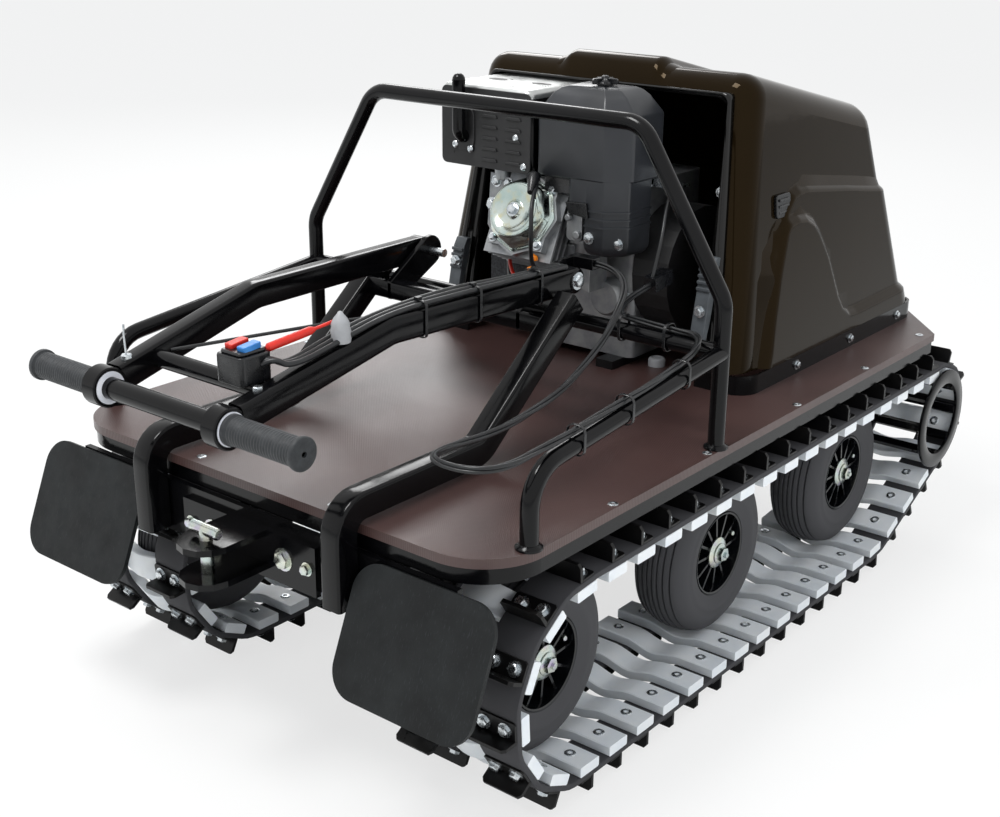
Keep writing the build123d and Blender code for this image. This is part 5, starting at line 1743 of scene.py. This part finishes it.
    def flange(self) -> None:
        """The rear flange: a rolled outer edge, a raised band and a lip into the opening."""
        outer = self.flange_line(self.low_half - 30, self.high_half - 26, 774, 6)
        inner = self.flange_line(214, 210, 768, 30)
        profile = (  # share of the way in, stand to the rear
            (0.0, -1.5), (0.06, 3), (0.12, 8), (0.2, 10.5), (0.34, 11), (0.46, 10.5), (0.54, 7.5), (0.6, 2), (0.68, 0),
            (0.8, 0), (0.9, -1), (0.96, -4), (1.0, -9), (1.0, -22),
        )
        lean = Vector((-1, 0, (self.rear_high - self.rear_low) / (self.top_rear - self.low_z))).normalized()
        rings = []
        for (y0, z0), (y1, z1) in zip(outer, inner):
            ring = []
            for share, stand in profile:
                y, z = y0 + (y1 - y0) * share, z0 + (z1 - z0) * share
                if share > 0.95:
                    z = min(z, 768)
                ring.append(Vector((self.rear_x(z), y, z)) + lean * stand)
            rings.append(ring)
        flange = Shaper()
        flange.skin(rings, caps=False, loop=False)
        # painted shade: the flange takes a blacker copy of the hood's colour, though it is the same sheet
        piece = flange.make("hood_flange", SHADED_FLANGE_PLASTIC, Body.HOOD, angle=60)
        thick = piece.modifiers.new("wall", "SOLIDIFY")
        thick.thickness = 2.5 * MM
        thick.offset = 0

    def trim(self) -> None:
        """Rubber latches, side vents and the bolts in the flange."""
        straps = Shaper()
        bolts = Shaper()
        for side, low, top in ((1, 435.0, 515.0), (-1, 435.0, 555.0)):
            y = side * 226
            lean = (self.rear_high - self.rear_low) / (self.top_rear - self.low_z)
            foot = self.rear_x(low)
            outline = [
                (foot - 31, low), (foot - 21, low), (foot - 12, low + 26), (self.rear_x(top) - 12, top),
                (self.rear_x(top) - 22, top + 1), (self.rear_x(top) - 30, top - 12),
            ]
            straps.prism(outline, (0, y, 0), (1, 0, 0), (0, 0, 1), 22)
            for number in range(4):
                z = top - 16 - 9 * number
                x = self.rear_x(z) - 31 + lean
                straps.box((x - 1.5, y - 11, z - 2.5), (x + 2, y + 11, z + 2.5))
            bolts.bolt((self.rear_x(low + 46) - 31, y, low + 46), (-1, 0, 0), 6.5, 6)
        straps.make("rubber_latches", STRAP_RUBBER, Body.HOOD, Edge.SOFT, replaces=("hood_latches",))
        for side in (-1, 1):
            bolts.bolt((self.rear_x(640) - 0.5, side * 216, 640), (-1, 0, 0), 6, 4)
            bolts.screw((self.rear_x(425) - 1, side * 262, 425), (-1, 0, 0), 5)
        bolts.make("hood_bolts", BRIGHT_ZINC, Body.HOOD)
        vents = Shaper()
        for side in (-1, 1):
            middle = (228.6, side * 262.5, 613)
            frame = rounded_box_outline(42, 34, 6, 3)
            vents.prism(frame, middle, (1, 0, 0), (0, 0.1 * -side, 1), 5)
            for number in range(3):
                z = 604 + 9 * number
                vents.box((214, side * 262 - 4.5, z - 2), (243, side * 262 + 4.5, z + 2))
        vents.make("side_vents", BLACK_PLASTIC, Body.HOOD, Edge.SOFT)

    def build(self) -> None:
        """Make both skins, flange and trim."""
        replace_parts(self.shell("hood_shell", 0.0, self.cuts), "hood")
        self.shell("hood_liner", self.wall, self.liner_cuts)
        self.flange()
        self.trim()


# ---------------------------------------------------------------- studio


@dataclass
class Studio:
    """A pale floor, soft lamps, a plain world and the camera."""

    focal_px: float = 1434.37
    sensor_mm: float = 36.0
    eye: tuple = (-1611.9, -1230.8, 1042.6)
    right: tuple = (0.6308, -0.7759, 0.0075)
    up: tuple = (0.2614, 0.2216, 0.9395)
    floor_half: float = 14.0

    def camera_rays(self, tree: bpy.types.NodeTree) -> tuple:
        """Tell rays from the camera, straight or through glass, from others.

        Args:
            tree: the node tree.

        Returns:
            The light path node, and the socket that is one for such rays.
        """
        rays = add_node(tree, "ShaderNodeLightPath", {}, {})
        return rays, maths(tree, "MAXIMUM", rays.outputs["Is Camera Ray"], rays.outputs["Is Transmission Ray"])

    def camera(self) -> None:
        """Set the camera at the photograph's viewing angle."""
        right = Vector(self.right).normalized()
        up = Vector(self.up)
        up = (up - right * up.dot(right)).normalized()
        back = right.cross(up)
        turn = Matrix((right, up, back)).transposed().to_4x4()
        data = bpy.data.cameras.new("view")
        data.sensor_width = self.sensor_mm
        data.sensor_fit = "HORIZONTAL"
        data.lens = self.focal_px / IMAGE_WIDTH * self.sensor_mm
        camera = bpy.data.objects.new("view", data)
        camera.matrix_world = Matrix.Translation(Vector(self.eye) * MM) @ turn
        bpy.context.scene.collection.objects.link(camera)
        bpy.context.scene.camera = camera

    def lamp(self, name: str, place: tuple, aim: tuple, size: float, power: float, mirrored: bool = True) -> None:
        """A square area lamp that looks at a point.

        Args:
            name: its name.
            place: where it stands, in metres.
            aim: the point it looks at, in metres.
            size: its side, in metres.
            power: its power, in watts.
            mirrored: whether reflections show it.
        """
        data = bpy.data.lights.new(name, "AREA")
        data.shape = "SQUARE"
        data.size = size
        data.energy = power
        lamp = bpy.data.objects.new(name, data)
        lamp.location = place
        lamp.visible_glossy = mirrored
        direction = Vector(aim) - Vector(place)
        lamp.rotation_euler = direction.to_track_quat("-Z", "Y").to_euler()
        bpy.context.scene.collection.objects.link(lamp)

    def floor(self) -> None:
        """A white floor that keeps half of the shadow for the camera."""
        size = self.floor_half
        corners = [(-size, -size, 0), (size, -size, 0), (size, size, 0), (-size, size, 0)]
        data = bpy.data.meshes.new("floor")
        data.from_pydata(corners, [], [(0, 1, 2, 3)])
        floor = bpy.data.objects.new("floor", data)
        floor.location.z = -0.0005
        bpy.context.scene.collection.objects.link(floor)
        material = bpy.data.materials.new("pale_floor")
        material.use_nodes = True
        tree = material.node_tree
        tree.nodes.clear()
        _, seen = self.camera_rays(tree)
        part = maths(tree, "MULTIPLY", seen, 0.7)
        matt = add_node(tree, "ShaderNodeBsdfDiffuse", {"Color": linear("f4f4f2")}, {})
        glow = add_node(tree, "ShaderNodeEmission", {"Color": (1, 1, 1, 1), "Strength": 1.0}, {})
        mix = add_node(tree, "ShaderNodeMixShader", {}, {0: part, 1: matt.outputs[0], 2: glow.outputs[0]})
        add_node(tree, "ShaderNodeOutputMaterial", {}, {0: mix.outputs[0]})
        data.materials.append(material)

    def world(self) -> None:
        """A grey world for light, white where it is seen."""
        world = bpy.data.worlds.new("studio")
        bpy.context.scene.world = world
        world.use_nodes = True
        tree = world.node_tree
        tree.nodes.clear()
        rays, seen = self.camera_rays(tree)
        glossy = maths(tree, "MAXIMUM", seen, rays.outputs["Is Glossy Ray"])
        light = add_node(tree, "ShaderNodeBackground", {"Color": linear("eaedf1"), "Strength": 0.8}, {})
        white = add_node(tree, "ShaderNodeBackground", {"Color": (1, 1, 1, 1), "Strength": 1.0}, {})
        mix = add_node(tree, "ShaderNodeMixShader", {}, {0: glossy, 1: light.outputs[0], 2: white.outputs[0]})
        add_node(tree, "ShaderNodeOutputWorld", {}, {0: mix.outputs[0]})

    def build(self) -> None:
        """Set up camera, lamps, floor and world."""
        bpy.context.scene.view_settings.view_transform = "Standard"
        self.camera()
        self.lamp("key", (-1.6, 0.6, 3.6), (-0.1, 0, 0.4), 1.2, 85)
        self.lamp("side", (-0.6, -3.6, 2.0), (0, 0, 0.3), 1.3, 38, False)
        self.lamp("rear", (2.6, 2.8, 2.8), (0, 0, 0.4), 1.6, 45)
        self.floor()
        self.world()


def main() -> None:
    """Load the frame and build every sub-assembly in order."""
    logging.basicConfig(level=logging.INFO, format="%(name)s %(message)s")
    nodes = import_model()["nodes"]
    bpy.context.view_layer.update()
    Studio().build()
    Cables().build(nodes)
    SnowTracks(TrackLoop()).build()
    RunningWheels().build()
    Deck().build(nodes)
    Rails().build()
    Handlebar().build(nodes)
    Engine().build(nodes)
    Hood().build()


if __name__ == "__main__":
    main()
